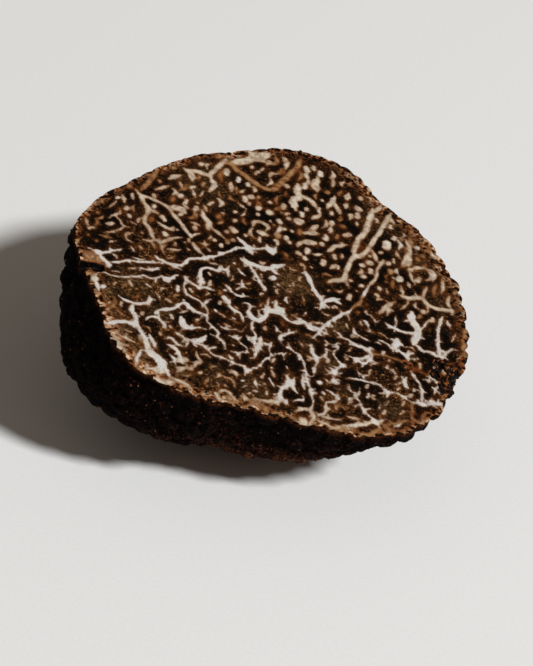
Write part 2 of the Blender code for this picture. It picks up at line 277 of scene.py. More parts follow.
    (.55, 19.3, 0, 18.6, -.6, 17.5, -.9, 16.3, -.8, 15.5, -.5, 15.2, -.1),
    (.3, 16.4, -.7, 16.4, .5, 16.2, 1.7), (.7, 19.2, -1.5, 18.8, -2.8),
    (.5, 19.1, -2.6, 19.9, -3.3, 20.7, -3.3, 21.5, -3.4, 22.3, -3.5),
    (.5, 22.5, -3.8, 22.2, -2.8, 21.9, -1.5, 21.8, 0, 21.7, 1.5, 22, 3, 22.1, 4.2),
    (.35, 22.6, -3.7, 23, -2.9, 23.4, -2, 23.8, -1.6, 24.3, -1.5), (.3, 22.6, -3.9, 22.1, -4.9, 21.7, -6),
    (.55, 22.8, 3.6, 23.3, 2.3), (.35, 23.9, 1.5, 23.6, -.2),
    (.3, 21.6, -5.8, 21.4, -7, 21.7, -7.8, 22.2, -8.3, 22.4, -9), (.5, 21.4, -7.8, 21.3, -8.6),
    (.4, 22.3, -9.2, 22.1, -10.6), (.2, 22.4, -9.3, 22.8, -10.4), (.4, 23, -6.3, 22.8, -6),
    (.35, 11.2, -2.5, 11.4, -3.3, 11.6, -3.8, 12.3, -4.1, 13.4, -4.4), (.6, 11.4, -3.6),
    (.4, 12.2, -.9, 12.7, -.9, 13, -1.7, 13.3, -2.3), (.4, 12.8, -2.5, 13.7, -2.6),
    (.4, 14.5, -3.6, 15.3, -3.9, 16, -4.4, 16.4, -5.2), (.9, 16.8, -2.6, 16.8, -3.5, 16.6, -4.5),
    (.5, 16.2, -3, 17.4, -3.3), (.5, 16.8, -4.5, 17.6, -4.9, 18.2, -5.5, 18.4, -6),
    (.6, 18.4, -4.3, 18.3, -5.2), (.4, 18.4, -4.9, 19, -4.4), (.3, 19.1, -5.5, 19.6, -5.1),
    (.4, 8.9, -4.4, 9.5, -4.5, 10, -5.1, 10.7, -5.2, 11.3, -5.6, 12.4, -5.8, 13.4, -5.8),
    (.35, 13.1, .5, 13.8, -.5, 14.2, 0),
    # left, where the veins run in towards the fold
    (.45, -18.3, -1, -19.4, -1.7, -20.2, -2.4, -21, -2.7, -22.5, -2.6), (.9, -21, -2.8),
    (.7, -20.9, -3.2, -20.2, -3.8, -19.6, -4.3, -19.4, -5),
    (.4, -19.6, -4, -18.5, -3.4, -17.2, -2.6, -15.8, -2.3, -14.6, -1.7, -13.6, -1.3),
    (.4, -16.9, -1.7, -16, -1.9, -15.4, -1.5), (.35, -17.4, 0, -16.9, -.6),
    (.5, -8, 2, -9.2, 1.3, -10.2, .7, -10.6, -.2, -11.3, -.9, -12.5, -1.1, -13.6, -.8, -14.2, -.4),
    (.35, -12.4, -1.2, -11.5, -1.4, -10.8, -1.5), (.35, -15.9, -3.4, -14.8, -3.2, -14, -3, -13.4, -2.2),
    (.35, -20.6, -6.9, -20.2, -6.3, -18.5, -6.2, -17.2, -5.9, -16.1, -5.3, -15.1, -4.6, -14.2, -4.6,
     -13.5, -4.2, -12.9, -3.7), (.3, -13.6, -4.6, -13.5, -5.2),
    (.6, -12.9, -3.8, -12.1, -4.3, -11.8, -3.6, -11.4, -3, -11, -2.9), (.9, -12.2, -4.1),
    (.4, -10.2, -2.4, -9.9, -3.1, -9, -3.6, -8.2, -3.9),
    (.4, -9.9, -3.3, -10.1, -4.3, -9.8, -5.3, -9.2, -5.9, -8, -6.1), (.6, -10.8, -4.9, -10.6, -5.5),
    (.3, -13.2, -6.8, -12.8, -7.4, -12.4, -8.2), (.4, -14.5, -6, -14.1, -6.3),
    (1.8, -21.3, -7.7, -20.5, -7.6), (.8, -20.6, -8.1, -19.9, -9.5), (.7, -19.4, -8.7),
]
CREAM = [
    # specks behind the middle
    (.9, -5.8, 9, -5.4, 8.6), (.7, -3.9, 8.5), (.8, -6.3, 8), (.6, -8.2, 8, -7.5, 7.5, -6.5, 6.6),
    (.8, -8.6, 9, -8.7, 7.6), (.7, -7.6, 5.8), (1.1, -2.5, 9.8, -1.3, 9.6), (.7, 1.7, 9.5), (.9, 3, 8),
    (.9, 3.9, 7.4), (.5, 4.9, 6), (.8, 5, 8.6, 5.9, 9.2), (.8, 6.3, 7.2, 6.3, 8), (.6, 7.3, 6.9, 7.9, 8),
    (.7, 8.5, 9.6, 8.5, 10.4), (.9, 3.3, 10.3, 5, 10.9), (.7, 6.6, 10, 7.4, 11), (.4, 7.2, 4.2, 9.2, 6.2),
    (.4, 7.5, 2.7),
    # towards the back
    (1.3, -7.4, 22, -6, 22.8, -5, 24, -4, 24.8, -2.9, 26), (1.3, -5.4, 25.2, -3.5, 24.2),
    (1.1, 1.5, 21.5, 1.6, 20, 1.8, 19, 1.2, 18, 1.7, 16.3), (.9, 2, 19.5, 3.5, 19, 4.2, 18),
    (1.2, 3.8, 24, 3.7, 22.4, 4.1, 21.3), (.8, 6.4, 21.3, 6.2, 20, 5.6, 18.5), (.8, 6.6, 20, 7.4, 18.3),
    (1, 8.1, 22.8, 8, 21.5), (.8, -7, 18, -6.8, 16.2), (.7, -5.2, 17.3, -5.6, 16.5), (1.1, -4.2, 16.3),
    (1.2, -1.5, 14.3), (.7, -1.7, 16.3), (1.5, 2.4, 14.2), (.8, 1.1, 14.2), (.8, 3.1, 17),
    (1, 4.9, 16.6, 4, 15.6), (.9, 4.8, 14.5, 4, 13.3), (.9, 3.3, 12.3, 5.2, 13), (.9, 6.6, 13.9, 6.6, 14.9),
    (.7, .7, 11.8), (.6, 1.7, 11.8), (.7, -2.9, 13.2), (.7, -4.6, 13.6, -5.5, 14.2), (.7, -5.8, 12.4),
    (.8, -5.6, 10.7), (.6, -7.2, 11.5), (.5, -1.2, 12.6),
    (.6, -3.2, 10.6, -3.1, 11.6, -2.2, 11.9, -1.4, 11.3, -1.5, 10.5), (1, 3.5, 10.6, 4.8, 11),
    (.8, 5.8, 11.2), (.7, 6.9, 10.5, 7.6, 11.6, 8.8, 12.4), (.7, 8.8, 18.5), (.8, 8.6, 14.2),
    (.7, -16, 12.2, -15.2, 13, -14.6, 13.7), (1, -12.8, 12.3), (.6, -11.4, 14, -11.1, 12.8),
    (.5, -10.6, 12), (.8, -9.7, 11.7, -9.2, 11), (.7, -12.3, 10.8, -11.6, 10.4),
    (1, -14.7, 15.2, -13.6, 16.3), (.7, -13.4, 15, -13, 14), (1, -13.2, 18, -12.2, 17.3, -11.9, 16),
    (.9, -12.5, 18, -10.9, 18, -9.7, 17.8), (.8, -10, 18, -9.3, 19.5, -8.6, 21.2, -8.2, 22.2),
    (.9, -9.7, 17.6, -9, 16.5, -9.5, 14.8), (.9, -11.2, 19.8),
    # back right
    (.9, 11.5, 21.3, 11.5, 20, 11.3, 18.7, 11.2, 17, 10.8, 15.5, 10.2, 14, 10, 12.5, 9.9, 11),
    (.7, 14, 21.3, 13.5, 19.5, 13.1, 18, 12.7, 16.3, 12.3, 14.8, 11.8, 13.2, 11.3, 12, 10.6, 11),
    (.7, 12.2, 12.8, 12.8, 11.6, 13, 11), (1.2, 9.7, 20.3), (.7, 9, 18.8, 8.8, 17.5),
    (.7, 9.8, 16.8, 9.8, 17.6), (1.2, 14, 14.3, 14, 15.1), (.7, 13.4, 12.9), (.6, 13.8, 11.5, 13.4, 10.2),
    (.6, 8.2, 12.5), (.8, 9, 14.5), (.8, 17.1, 13.7, 17.1, 12.5, 16.5, 11.7),
    (.6, 19.8, 12, 20.2, 11, 19.5, 10.2),
    # right
    (.75, 10, 11, 9.7, 9.5, 9.5, 8, 9.3, 6.5, 9.2, 5.8, 8.6, 5.3, 7.9, 4.9, 7.3, 4.3),
    (.4, 9.3, 5.7, 9.7, 5, 9.9, 4.4), (.9, 9.9, 10.6, 11, 11.2),
    (.5, 13.8, 11, 13.2, 9.7, 13.2, 8.3, 12.9, 7, 12.4, 5.8), (1.1, 12, 10.3), (.8, 11.6, 7.3),
    (.8, 11.5, 5.5), (.4, 11.1, 4.2), (.7, 10.2, 2.4, 10.2, 3.1), (.5, 15.3, 8.7),
    (.5, 14.6, 6.2, 14.9, 5.3), (.5, 13.6, 3.6, 14.4, 4), (.6, 16.4, 7.6, 16.7, 6.6, 16.7, 5.9),
    (.75, 16.4, 5.7, 17.5, 5.7, 18.5, 6.1, 19.3, 6.3, 20, 5.6, 21, 5.3, 22.3, 5.5, 23.2, 5.9),
    (.4, 18.3, 7.2, 18.5, 6.3), (.55, 19.8, 8.9, 19.5, 7.7, 19.3, 6.5), (.6, 22.7, 8.5, 22.6, 7.3, 23, 6),
    (.6, 23.2, 6, 23.3, 5), (.5, 20.1, 5.4, 20.2, 4.2), (.4, 17.5, 5.5, 17.4, 4.2, 16.7, 3.1),
    (.5, 17.3, 11, 17.6, 9.9, 18.2, 8.6), (.9, 17.4, 11.3), (.6, 21.7, 11, 21.8, 9.5, 21.7, 8.5),
    (.6, 15.9, 4.2, 15.4, 3.4, 14.8, 2.6, 14.5, 1.8, 14.1, 1.1), (.45, 15.3, 3, 15.2, 1.3),
    (.8, 17.5, 11.6, 18.4, 12.2, 19.1, 12.4), (.5, 19.1, 12.4, 20.2, 12.2, 20.6, 11.2, 20.4, 10.3),
    (.9, 20.5, 11.6), (.7, 18.7, 10.2, 18.4, 9.5), (.7, 16.4, 16.9, 17, 15.6, 16.9, 13.9, 16.3, 11.6),
    (.9, 17, 13.4), (.7, 20, 19, 20.8, 17.9), (.7, 19.7, 15.8, 20.4, 14.9), (.7, 13.9, 20.6, 14.6, 19.4),
    (.8, 12.6, 22.4, 12, 20.9),
    # left
    (.6, -18.5, 11, -17.8, 10.3, -16.5, 10.1, -15.3, 9.9, -14.2, 9.4, -13.2, 8.3, -12.2, 7.2, -11.2, 6,
     -10.5, 5), (.6, -10.5, 5.2, -9.6, 6.3),
    (.7, -17.8, 10.3, -17.2, 8.9, -16.4, 7.9, -16.6, 6.5, -16.4, 5.2, -15.6, 4.2, -15.1, 3, -14.9, 2.5),
    (.9, -16.2, 7.9, -15.2, 7.7), (.55, -14.9, 2.6, -14, 2.3, -13.5, 2.9, -12.6, 3.8, -11.6, 4.4),
    (.4, -14.1, 2.3, -13.6, 1.2, -13.2, .4), (.5, -14.9, 2.4, -15.5, 2, -16.2, 1.9),
    (.4, -15.2, 2, -14.4, .9), (.6, -12.9, 1.5, -12, 1.7, -11.5, 2.1), (.7, -14.5, 7.3, -14.1, 6.7),
    (.6, -14.9, 6, -14, 5.5, -13.1, 5.3, -12.9, 6), (.4, -12.3, 5.7),
    (1.2, -13.9, 9.6, -12.6, 9.8, -11.9, 9.3), (.7, -10.9, 7.9, -9.8, 7.8),
    (.8, -9.9, 10.9, -9.4, 9.7, -8.6, 8.8, -8.6, 7.5), (.8, -10, 4, -9.6, 3.2, -9.1, 2.6),
    (.5, -8.8, 5, -8.5, 4), (.5, -10.5, 2.5), (.3, -11, 3.6), (.7, -19.9, 9.2, -19.5, 7.9),
    (.4, -20.5, 7.6, -21.3, 5.9), (.4, -19.9, 6.4, -19.7, 5.5, -20.2, 5, -20.9, 4.1),
    (.35, -20.2, 5, -19.5, 4.2, -18.8, 3.5, -18.1, 3.5), (.4, -18.8, 3.4, -19.3, 2.4, -20.2, 1.6, -21, 1.1),
    (.45, -18.3, 4.7, -17.5, 4.3), (.7, -23.6, 2.6, -23.2, 1.6), (.5, -16.5, 3.2),
    (.45, -17.6, 2.7, -18.3, 2, -18.1, 1.2, -17.3, .9), (.35, -16.4, .6, -16, .2),
    # along the front rim
    (.5, -7.1, -15.3, -6.7, -16.2, -6.2, -16.8, -6.7, -17.4, -7, -18.3),
    (.4, -7, -18.4, -8, -18.6, -8.7, -19.3), (.8, -8.6, -17.4, -8, -17),
    (.4, -4.9, -17.6, -4.9, -17.1, -4.3, -16.7), (.4, -3.8, -17.7, -3.9, -18.5, -4.2, -18.9),
    (.45, -3, -16.9, -2, -16.9, -1.7, -17.8), (.4, -3.2, -18.3, -2.5, -18.2, -2, -18.8, -1.8, -19.5),
    (.7, -6.1, -18.6), (.45, -5, -19.2, -5.3, -20.3), (.4, -3, -19.6), (.5, .1, -19.8),
    (.4, -8, -18.8, -8.7, -19.8), (.6, 11.9, -18.9, 12.6, -18.9, 13.5, -18.6), (.5, 9.6, -18.5),
    # the swirl and the band inside the front rim
    (.4, -18.7, -13.8, -18.2, -12.7), (.6, -16.3, -16.2, -15.3, -16.6, -14.4, -16.9),
    (.5, -15.8, -15.1, -15, -15.2), (.45, -15.9, -17.6, -14.9, -17.8), (.5, -14.1, -15.5, -13.6, -16.4),
    (.45, -17.2, -16.3, -16.3, -17.2, -15.5, -18.1),
    (.7, -18.5, -16.2, -17.6, -16.9, -16.6, -17.5, -15.7, -18.4, -14.8, -18.9),
    (.5, -12.3, -19.8, -12.3, -20.5), (1, -11.6, -20.2, -10.6, -20.3, -9.8, -20),
    (.9, -11.2, -21.6, -10.1, -21.8, -8.9, -21.6), (.6, -9.4, -20.9, -8.4, -21, -7.5, -21.1, -6.7, -22),
    (.6, -3.8, -21.4, -3.3, -22), (.5, -3.6, -21.2, -3.1, -20.5, -2.4, -20.6, -1.7, -21.3, -1.1, -21.6),
    (.6, -1, -20.6, -.4, -20.6, .3, -20.8), (.5, .6, -20.7, 1.7, -20.4, 2.8, -20.1, 3.5, -20.2),
    (.6, 2.8, -19.9, 3.9, -19.5),
    (.6, 5.8, -20.6, 6.1, -19.9, 6.8, -19.6, 7.6, -19.7, 8, -20.5, 7.8, -21.7, 7, -22.3), (1.2, 6.9, -21.5),
    (.4, 8.2, -19.6, 8.9, -20, 9.9, -19.9, 11.3, -19.9),
    (.5, 8.6, -21, 9.6, -21.1, 10.8, -21.3, 11.8, -20.5),
    (.55, 12.4, -20.1, 13.6, -19.6, 14.7, -18.8, 15.9, -18.1),
]
TAN = [
    (.8, -20.7, -9.1, -20.2, -10.6), (1, -19.9, -11.6, -19.6, -13.2), (.8, -13.1, -20.7),
    (.8, -8.7, -21.9, -7.6, -22.5, -6.6, -22.7), (.8, -6.1, -22.3, -5.1, -22.5, -4, -22.4),
    (.6, -2.8, -21.8, -1.9, -22, -1.1, -21.8, -.1, -21.6, .6, -21),
    (.8, .5, -21.1, 1.5, -21.3, 2.8, -21.4, 3.5, -21.9, 4.5, -22, 5.9, -21.8),
    (.7, 7.8, -21.8, 8.9, -22, 9.9, -22.1, 11.3, -21.5, 12.3, -20.5),
    (.6, 12.7, -20.8, 13.5, -21, 14.9, -20.6, 15.7, -19.7, 16, -19),
    (.5, 16.3, -18.3, 17, -19, 17.6, -19.3),
    (.35, 14, -6.6, 15, -6.4, 16.3, -6.3, 17.3, -6.4, 18, -6.8, 18.6, -7.3),
    (.5, 11.8, 3.4, 11.6, 2.2, 11.1, 1.3, 10.7, .5), (.5, 10.9, -17.2, 11.6, -17.7),
    (.35, 19.5, -13.2, 19.6, -14.3, 19.5, -15.5, 19.7, -16.1, 20.3, -16.2),
    (.35, 20.3, -16.4, 20.7, -15.6, 20.9, -14.7, 21.4, -14.1, 22, -14),
    (.3, 16.5, -18.5, 17.3, -17.8, 18.3, -17.2, 19, -16.7, 19.9, -16.5),
    (.5, 16.8, -18.9, 18, -18.8, 19, -18.5, 19.6, -17.9), (.5, 20.9, 10, 20.7, 8.6, 20.8, 7.5),
    (.4, 24, 4.2, 24.1, 3.1), (.7, 24.9, 3, 25, .5, 25.1, -1.2), (.7, 22.9, -6.4), (.6, 23.5, -10),
    (.7, -22.2, 6.8), (.6, -23.2, 5.2), (.6, -22.4, 4.5), (.3, -21.5, .5, -20.5, .5, -19.9, .7),
    (.5, -21.6, -.9), (.4, -22.8, -.3), (.4, -18, -10, -17.7, -11, -18, -12), (.5, -18.3, -12.7),
    (.7, -17.8, 11.2, -17.4, 12.6, -16.8, 14.4, -16.3, 16), (.9, -19.3, 11.3), (.8, -9.8, 22, -8.5, 22.8),
    (.8, -14.5, 17.5), (1.6, -22.6, -3.8, -21.6, -3.9, -20.6, -4.3), (2.1, -22.2, -7.6, -20.9, -7.6),
    (.8, -8.5, 21.5, -7.5, 21.6, -6.5, 20.8, -5, 20, -4, 19.3, -2.8, 18.8, -1.6, 19, -1, 20.2, -.4, 21.8,
     .3, 23.5, 1, 25, 1.2, 27), (.6, 0, 15), (.9, 8, 15.8), (.7, 17, 19.2, 16.7, 18.2),
    (.8, 16.8, 17.5, 17.3, 16.3), (.8, 16.5, 15.3, 16.8, 14.3), (.8, 19.3, 16.8, 19.4, 15.7),
    (.6, 19.3, 13.5, 19.2, 12.3), (.7, 21.8, 11.8, 21.6, 10.7), (.4, 11.6, .3), (.3, 12.5, 2.2),
    (.4, 14.5, 7.5),
]
COPPER = [
    (.35, 17.5, -6.5, 19, -7, 20.2, -7.3, 21.3, -7.4), (.9, 25, -2.6, 24.9, -4),
    (.5, 23.2, -4.6, 23.9, -4.2), (.7, -19.5, -13.6, -19.2, -14.5, -18.8, -15.6),
    (.7, -14.2, -19.8, -13.4, -21, -12.2, -21.9),
]

# Translucent brown patches: x, y and radius in millimetres, and strength.
STAINS = [
    (3.0, 2.2, 2.6, 1.0), (1.0, -18.5, 1.8, 0.7), (9.0, -3.0, 1.5, 0.8), (8.6, -11.0, 1.3, 0.6),
    (5.8, -8.0, 1.2, 0.35), (17.3, -15.6, 1.6, 0.45), (-4.5, 2.2, 1.6, 0.35), (11.6, -15.0, 1.2, 0.4),
    (-19.6, -10.0, 2.3, 0.8), (-17.0, -14.4, 2.1, 0.8), (-13.5, -18.0, 2.0, 0.7), (-8.5, -20.5, 1.6, 0.6),
    (-16.0, -6.8, 2.6, 0.5), (-12.2, -10.2, 1.5, 0.6), (-4.0, -18.5, 1.8, 0.4), (-10.0, 16.0, 4.0, 0.4),
    (13.0, 20.0, 3.0, 0.5), (18.5, 15.5, 3.0, 0.5), (22.5, 8.0, 2.5, 0.4)]
# Lighter, grainy brown flesh, likewise.
GRAINY = [
    (-17.0, -7.5, 3.5, 0.9), (-14.5, 0.0, 3.5, 0.7), (-16.0, 3.5, 3.5, 0.5), (-13.0, -6.0, 3.0, 0.9),
    (-12.0, -13.0, 3.0, 0.4), (17.0, -11.0, 3.5, 0.55), (12.5, -10.5, 2.0, 0.5), (12.0, -17.5, 3.0, 0.6),
    (-19.0, -10.5, 2.6, 1.0), (-17.5, -14.5, 2.2, 0.9), (-14.0, -17.5, 2.2, 0.8), (-10.5, -20.5, 2.0, 0.8),
    (-4.0, -20.0, 2.0, 0.6)]
PATCH_WANDER = (0.8, 2.2)    # how far, and over what size, the outlines of both wander
PATCH_FALL = 1.5             # how steeply they end

# Hollows where flesh has broken away: x, y, radius and depth in millimetres.
HOLLOWS = [
    (18.1, -6.5, 0.32, 0.4), (18.75, -6.5, 0.28, 0.4), (22.3, -4.9, 0.75, 0.6), (22.0, -6.9, 0.7, 0.6),
    (23.6, -5.6, 0.6, 0.5), (22.8, -8.4, 0.6, 0.5), (24.1, -8.5, 0.8, 0.6), (23.1, -9.3, 0.5, 0.5),
    (24.2, -10.2, 0.6, 0.5), (-20.6, -5.4, 0.9, 0.6)]
HOLLOW_WANDER = (0.35, 1.1 * MM)       # share of the radius, and size
CRUMBLE_ROUGHNESS = (0.45, 0.55 * MM)  # share of the depth, and size

# Soil dust clings to the rind in patches. Extra dust low down in front is partly painted light, where light
# falls on the rind, and extra dust all over it behind is painted fill light, where the rind lies in shade.
DUST_EVERYWHERE = 0.1
DUST_AND_LIGHT_AZIMUTH = math.radians(-70.0)
DUST_AND_LIGHT_HEIGHT = 13.0 * MM
DUST_AND_LIGHT_IN_FRONT = (0.1, 1.1)   # at any height, and added low down
DUST_AND_FILL_BEHIND_REACH = 14.0 * MM
DUST_AND_FILL_BEHIND = 0.6
DUST_AND_LIGHT_LIMIT = 1.3
SOIL_PATCHES = (1.4, 3.0 * MM)         # how far they swing, and their size
FEWEST_CRUMBS = 0.1
# More crumbs lie where the flesh has broken, right of BROKEN_FROM millimetres, twice as large.
BROKEN_CRUMBS = 14.0
BROKEN_DEPTH = 0.3 * MM
BROKEN_FROM = 21.0
BROKEN_CRUMB_SIZE = 2.0

# The band just inside the rim: its width in millimetres, and how pale it is from 0, brown, to 1, tan, every
# 30 degrees, counterclockwise from +X.
RIM_BAND = [0.9, 1.6, 2.5, 2.0, 1.4, 1.0, 0.9, 1.3, 1.7, 1.5, 1.1, 0.9]
RIM_PALENESS = [0.40, 0.40, 0.40, 0.35, 0.40, 0.35, 0.55, 0.90, 0.90, 1.00, 0.60, 0.40]


def curve(before, start, end, after, t):
    """A smooth curve from start to end as t goes from 0 to 1, in line with the points before and after."""
    return 0.5 * (2.0 * start + (end - before) * t
                  + (2.0 * before - 5.0 * start + 4.0 * end - after) * t ** 2
                  + (3.0 * start - before - 3.0 * end + after) * t ** 3)


def outline_radius(azimuth):
    """Distance of the outline from the centre of the cut, as a smooth closed curve through OUTLINE."""
    radii = np.array(OUTLINE)
    place = np.mod(azimuth / (2.0 * math.pi), 1.0) * len(radii)
    index = np.floor(place).astype(int)
    return curve(*(radii[(index + step) % len(radii)] for step in (-1, 0, 1, 2)), place - index)


def around(values, azimuth):
    """Values given at equal steps round the cut, read in between."""
    steps = np.linspace(0.0, 2.0 * math.pi, len(values) + 1)
    return np.interp(np.mod(azimuth, 2.0 * math.pi), steps, values + values[:1])


def smooth_step(value):
    """0 below 0, 1 above 1 and a smooth rise between."""
    t = np.clip(value, 0.0, 1.0)
    return t * t * (3.0 - 2.0 * t)


def body_points(directions):
    """Points of the truffle's smooth body for unit vectors, the lower ones below the cut."""
    azimuth = np.arctan2(directions[:, 1], directions[:, 0])
    dip = np.arcsin(np.clip(-directions[:, 2], -1.0, 1.0))
    across = np.cos(dip) ** (2.0 / SQUARENESS)
    along = np.abs(np.sin(dip)) ** (2.0 / SQUARENESS)
    radius = (outline_radius(azimuth) - 0.5 * WART_RISE) * across
    height = np.where(dip > 0.0, -DEPTH, DOME_HEIGHT) * along
    points = np.stack([radius * np.cos(azimuth) + POLE_SHIFT * along, radius * np.sin(azimuth), height], 1)

    towards = points / np.linalg.norm(points, axis=1, keepdims=True)
    swelling = np.zeros(len(points))
    for amount, *angles in LOBES:
        turn, drop, spread = np.radians(angles)
        level = math.cos(drop)
        centre = np.array([math.cos(turn) * level, math.sin(turn) * level, -math.sin(drop)])
        angle = np.arccos(np.clip(towards @ centre, -1.0, 1.0))
        swelling += amount * np.exp(-(angle / spread) ** 2)
    bumps = noise_at(points, BUMP_SIZE) * BUMP_HEIGHT
    scale = 1.0 + swelling * smooth_step(dip / LOBE_FADE)
    return points * scale[:, None] + towards * bumps[:, None]


def wart_places():
    """Centres of the warts on the smooth body, each at least WART_SPACING from the others."""
    rng = np.random.default_rng(WART_SEED)
    tries = rng.normal(size=(WART_TRIES, 3))
    tries /= np.linalg.norm(tries, axis=1, keepdims=True)
    places = body_points(tries)
    kept = [0]
    for index in range(1, len(tries)):
        gaps = np.linalg.norm(places[kept] - places[index], axis=1)
        if gaps.min() > WART_SPACING:
            kept.append(index)
    return places[kept]


def noise_at(points, size):
    """Smooth noise between about -1 and 1, with features of the given size."""
    return np.array([noise.noise(Vector(point) / size) for point in points])


def noise_vectors(points, size):
    """Smooth noise with three parts, for moving points about. Without a seed it differs from run to run."""
    noise.seed_set(NOISE_SEED)
    return np.array([noise.noise_vector(Vector(point) / size) for point in points])


def ring_disc(rings):
    """A disc of rings, ring k with 6k points: each point's share of the radius and azimuth, and the
    triangles, counterclockwise."""
    share = [np.zeros(1)]
    azimuth = [np.zeros(1)]
    triangles = []
    for ring in range(rings):
        inner = 0 if ring == 0 else 1 + 3 * ring * (ring - 1)
        outer = 1 + 3 * ring * (ring + 1)
        inner_count = max(6 * ring, 1)
        outer_count = 6 * (ring + 1)
        share.append(np.full(outer_count, (ring + 1) / rings))
        azimuth.append(np.arange(outer_count) * (2.0 * math.pi / outer_count))
        for side in range(6):
            step = np.arange(ring + 1)
            near = inner + (side * ring + step) % inner_count
            far = outer + (side * (ring + 1) + step) % outer_count
            far_next = outer + (side * (ring + 1) + step + 1) % outer_count
            near_next = inner + (side * ring + step + 1) % inner_count
            triangles.append(np.stack([far, far_next, near], 1))
            triangles.append(np.stack([near, far_next, near_next], 1)[:-1])
    return np.concatenate(share), np.concatenate(azimuth), np.concatenate(triangles)


def dips_for(shares):
    """Dip of the body's direction for a share of the way from its pole to its rim, along the surface."""
    dips = np.linspace(0.0, math.pi / 2.0, 2000)
    across = np.mean(OUTLINE) * np.cos(dips) ** (2.0 / SQUARENESS)
    along = DEPTH * np.sin(dips) ** (2.0 / SQUARENESS)
    length = np.concatenate([[0.0], np.cumsum(np.hypot(np.diff(across), np.diff(along)))])
    return np.interp(1.0 - shares, length / length[-1], dips)


def vertex_normals(points, triangles):
    """Unit normals of a mesh's points, from the triangles around each."""
    sides = points[triangles[:, 1]] - points[triangles[:, 0]]
    others = points[triangles[:, 2]] - points[triangles[:, 0]]
    facing = np.cross(sides, others)
    normals = np.zeros_like(points)
    for corner in range(3):
        np.add.at(normals, triangles[:, corner], facing)
    return normals / np.maximum(np.linalg.norm(normals, axis=1, keepdims=True), 1e-20)


def wart_pattern(points, places):
    """For points on the rind: distance to the nearest groove and to the wart's centre, and its number."""
    wandering = points + WART_WANDER * noise_vectors(points, WANDER_SIZE)
    border = np.empty(len(points))
    centre_gap = np.empty(len(points))
    owner = np.empty(len(points), int)
    neighbours = 7
    at_once = 4000
    for start in range(0, len(points), at_once):
        part = wandering[start:start + at_once]
        squares = ((part[:, None, :] - places[None, :, :]) ** 2).sum(2)
        nearest = np.argpartition(squares, neighbours, axis=1)[:, :neighbours]
        near_squares = np.take_along_axis(squares, nearest, 1)
        order = np.argsort(near_squares, axis=1)
        nearest = np.take_along_axis(nearest, order, 1)
        near_squares = np.take_along_axis(near_squares, order, 1)
        own = nearest[:, :1]
        apart = np.linalg.norm(places[nearest[:, 1:]] - places[own], axis=2)
        gaps = (near_squares[:, 1:] - near_squares[:, :1]) / (2.0 * apart)
        border[start:start + at_once] = gaps.min(1)
        centre_gap[start:start + at_once] = np.sqrt(near_squares[:, 0])
        owner[start:start + at_once] = own[:, 0]
    return border, centre_gap, owner


def sunken(points):
    """How far the fold and the crumbled patch lower the cut at points of it."""
    along = points[:, 0] * math.cos(FOLD_AZIMUTH) + points[:, 1] * math.sin(FOLD_AZIMUTH)
    aside = -points[:, 0] * math.sin(FOLD_AZIMUTH) + points[:, 1] * math.cos(FOLD_AZIMUTH)
    place = np.clip((along - FOLD_INNER_RADIUS) / FOLD_LENGTH, 0.0, 1.0)
    width = FOLD_NARROWING + (1.0 - FOLD_NARROWING) * place
    across = np.clip(1.0 - (aside / (FOLD_HALF_WIDTH * width)) ** 2, 0.0, 1.0)
    starts = smooth_step((along - FOLD_INNER_RADIUS) / FOLD_LIP + 0.5)
    fold = FOLD_DEPTH * width * np.sqrt(across) * starts

    rough = 1.0 + HOLLOW_WANDER[0] * noise_at(points, HOLLOW_WANDER[1])
    gap = [(points[:, axis] - CRUMBLE_CENTRE[axis]) / (CRUMBLE_RADII[axis] * rough) for axis in (0, 1)]
    inside = np.clip(1.0 - gap[0] ** 2 - gap[1] ** 2, 0.0, 1.0)
    crumble = np.clip(CRUMBLE_RADII[2] * np.sqrt(inside) - CRUMBLE_CENTRE.z, 0.0, None)
    crumble *= 1.0 + CRUMBLE_ROUGHNESS[0] * noise_at(points, CRUMBLE_ROUGHNESS[1])
    depth = np.maximum(fold, crumble)
    for x, y, radius, hollow in HOLLOWS:
        gap = np.hypot(points[:, 0] / MM - x, points[:, 1] / MM - y) / (radius * rough)
        depth = np.maximum(depth, hollow * MM * np.sqrt(np.clip(1.0 - gap ** 2, 0.0, 1.0)))
    return depth


def smooth_path(points):
    """Points every VEIN_STEP along a smooth curve through the given ones."""
    if len(points) == 1:
        return points
    ends = np.concatenate([2.0 * points[:1] - points[1:2], points, 2.0 * points[-1:] - points[-2:-1]])
    path = []
    for before, start, end, after in zip(ends, ends[1:], ends[2:], ends[3:]):
        count = max(2, int(np.linalg.norm(end - start) / VEIN_STEP))
        path.append(curve(before, start, end, after, np.linspace(0.0, 1.0, count, endpoint=False)[:, None]))
    path.append(points[-1:])
    return np.concatenate(path)


def flattened(places):
    """Places on the cut as points with no height."""
    return np.column_stack([places[:, :2], np.zeros(len(places))])


def behind_middle(places):
    """0 in the front and middle of the cut, rising to 1 behind, where the veins are broad and crowded."""
    past = places[:, 1] + MIDDLE_BEND * np.abs(places[:, 0]) - MIDDLE_END
    return smooth_step(past / MIDDLE_END)


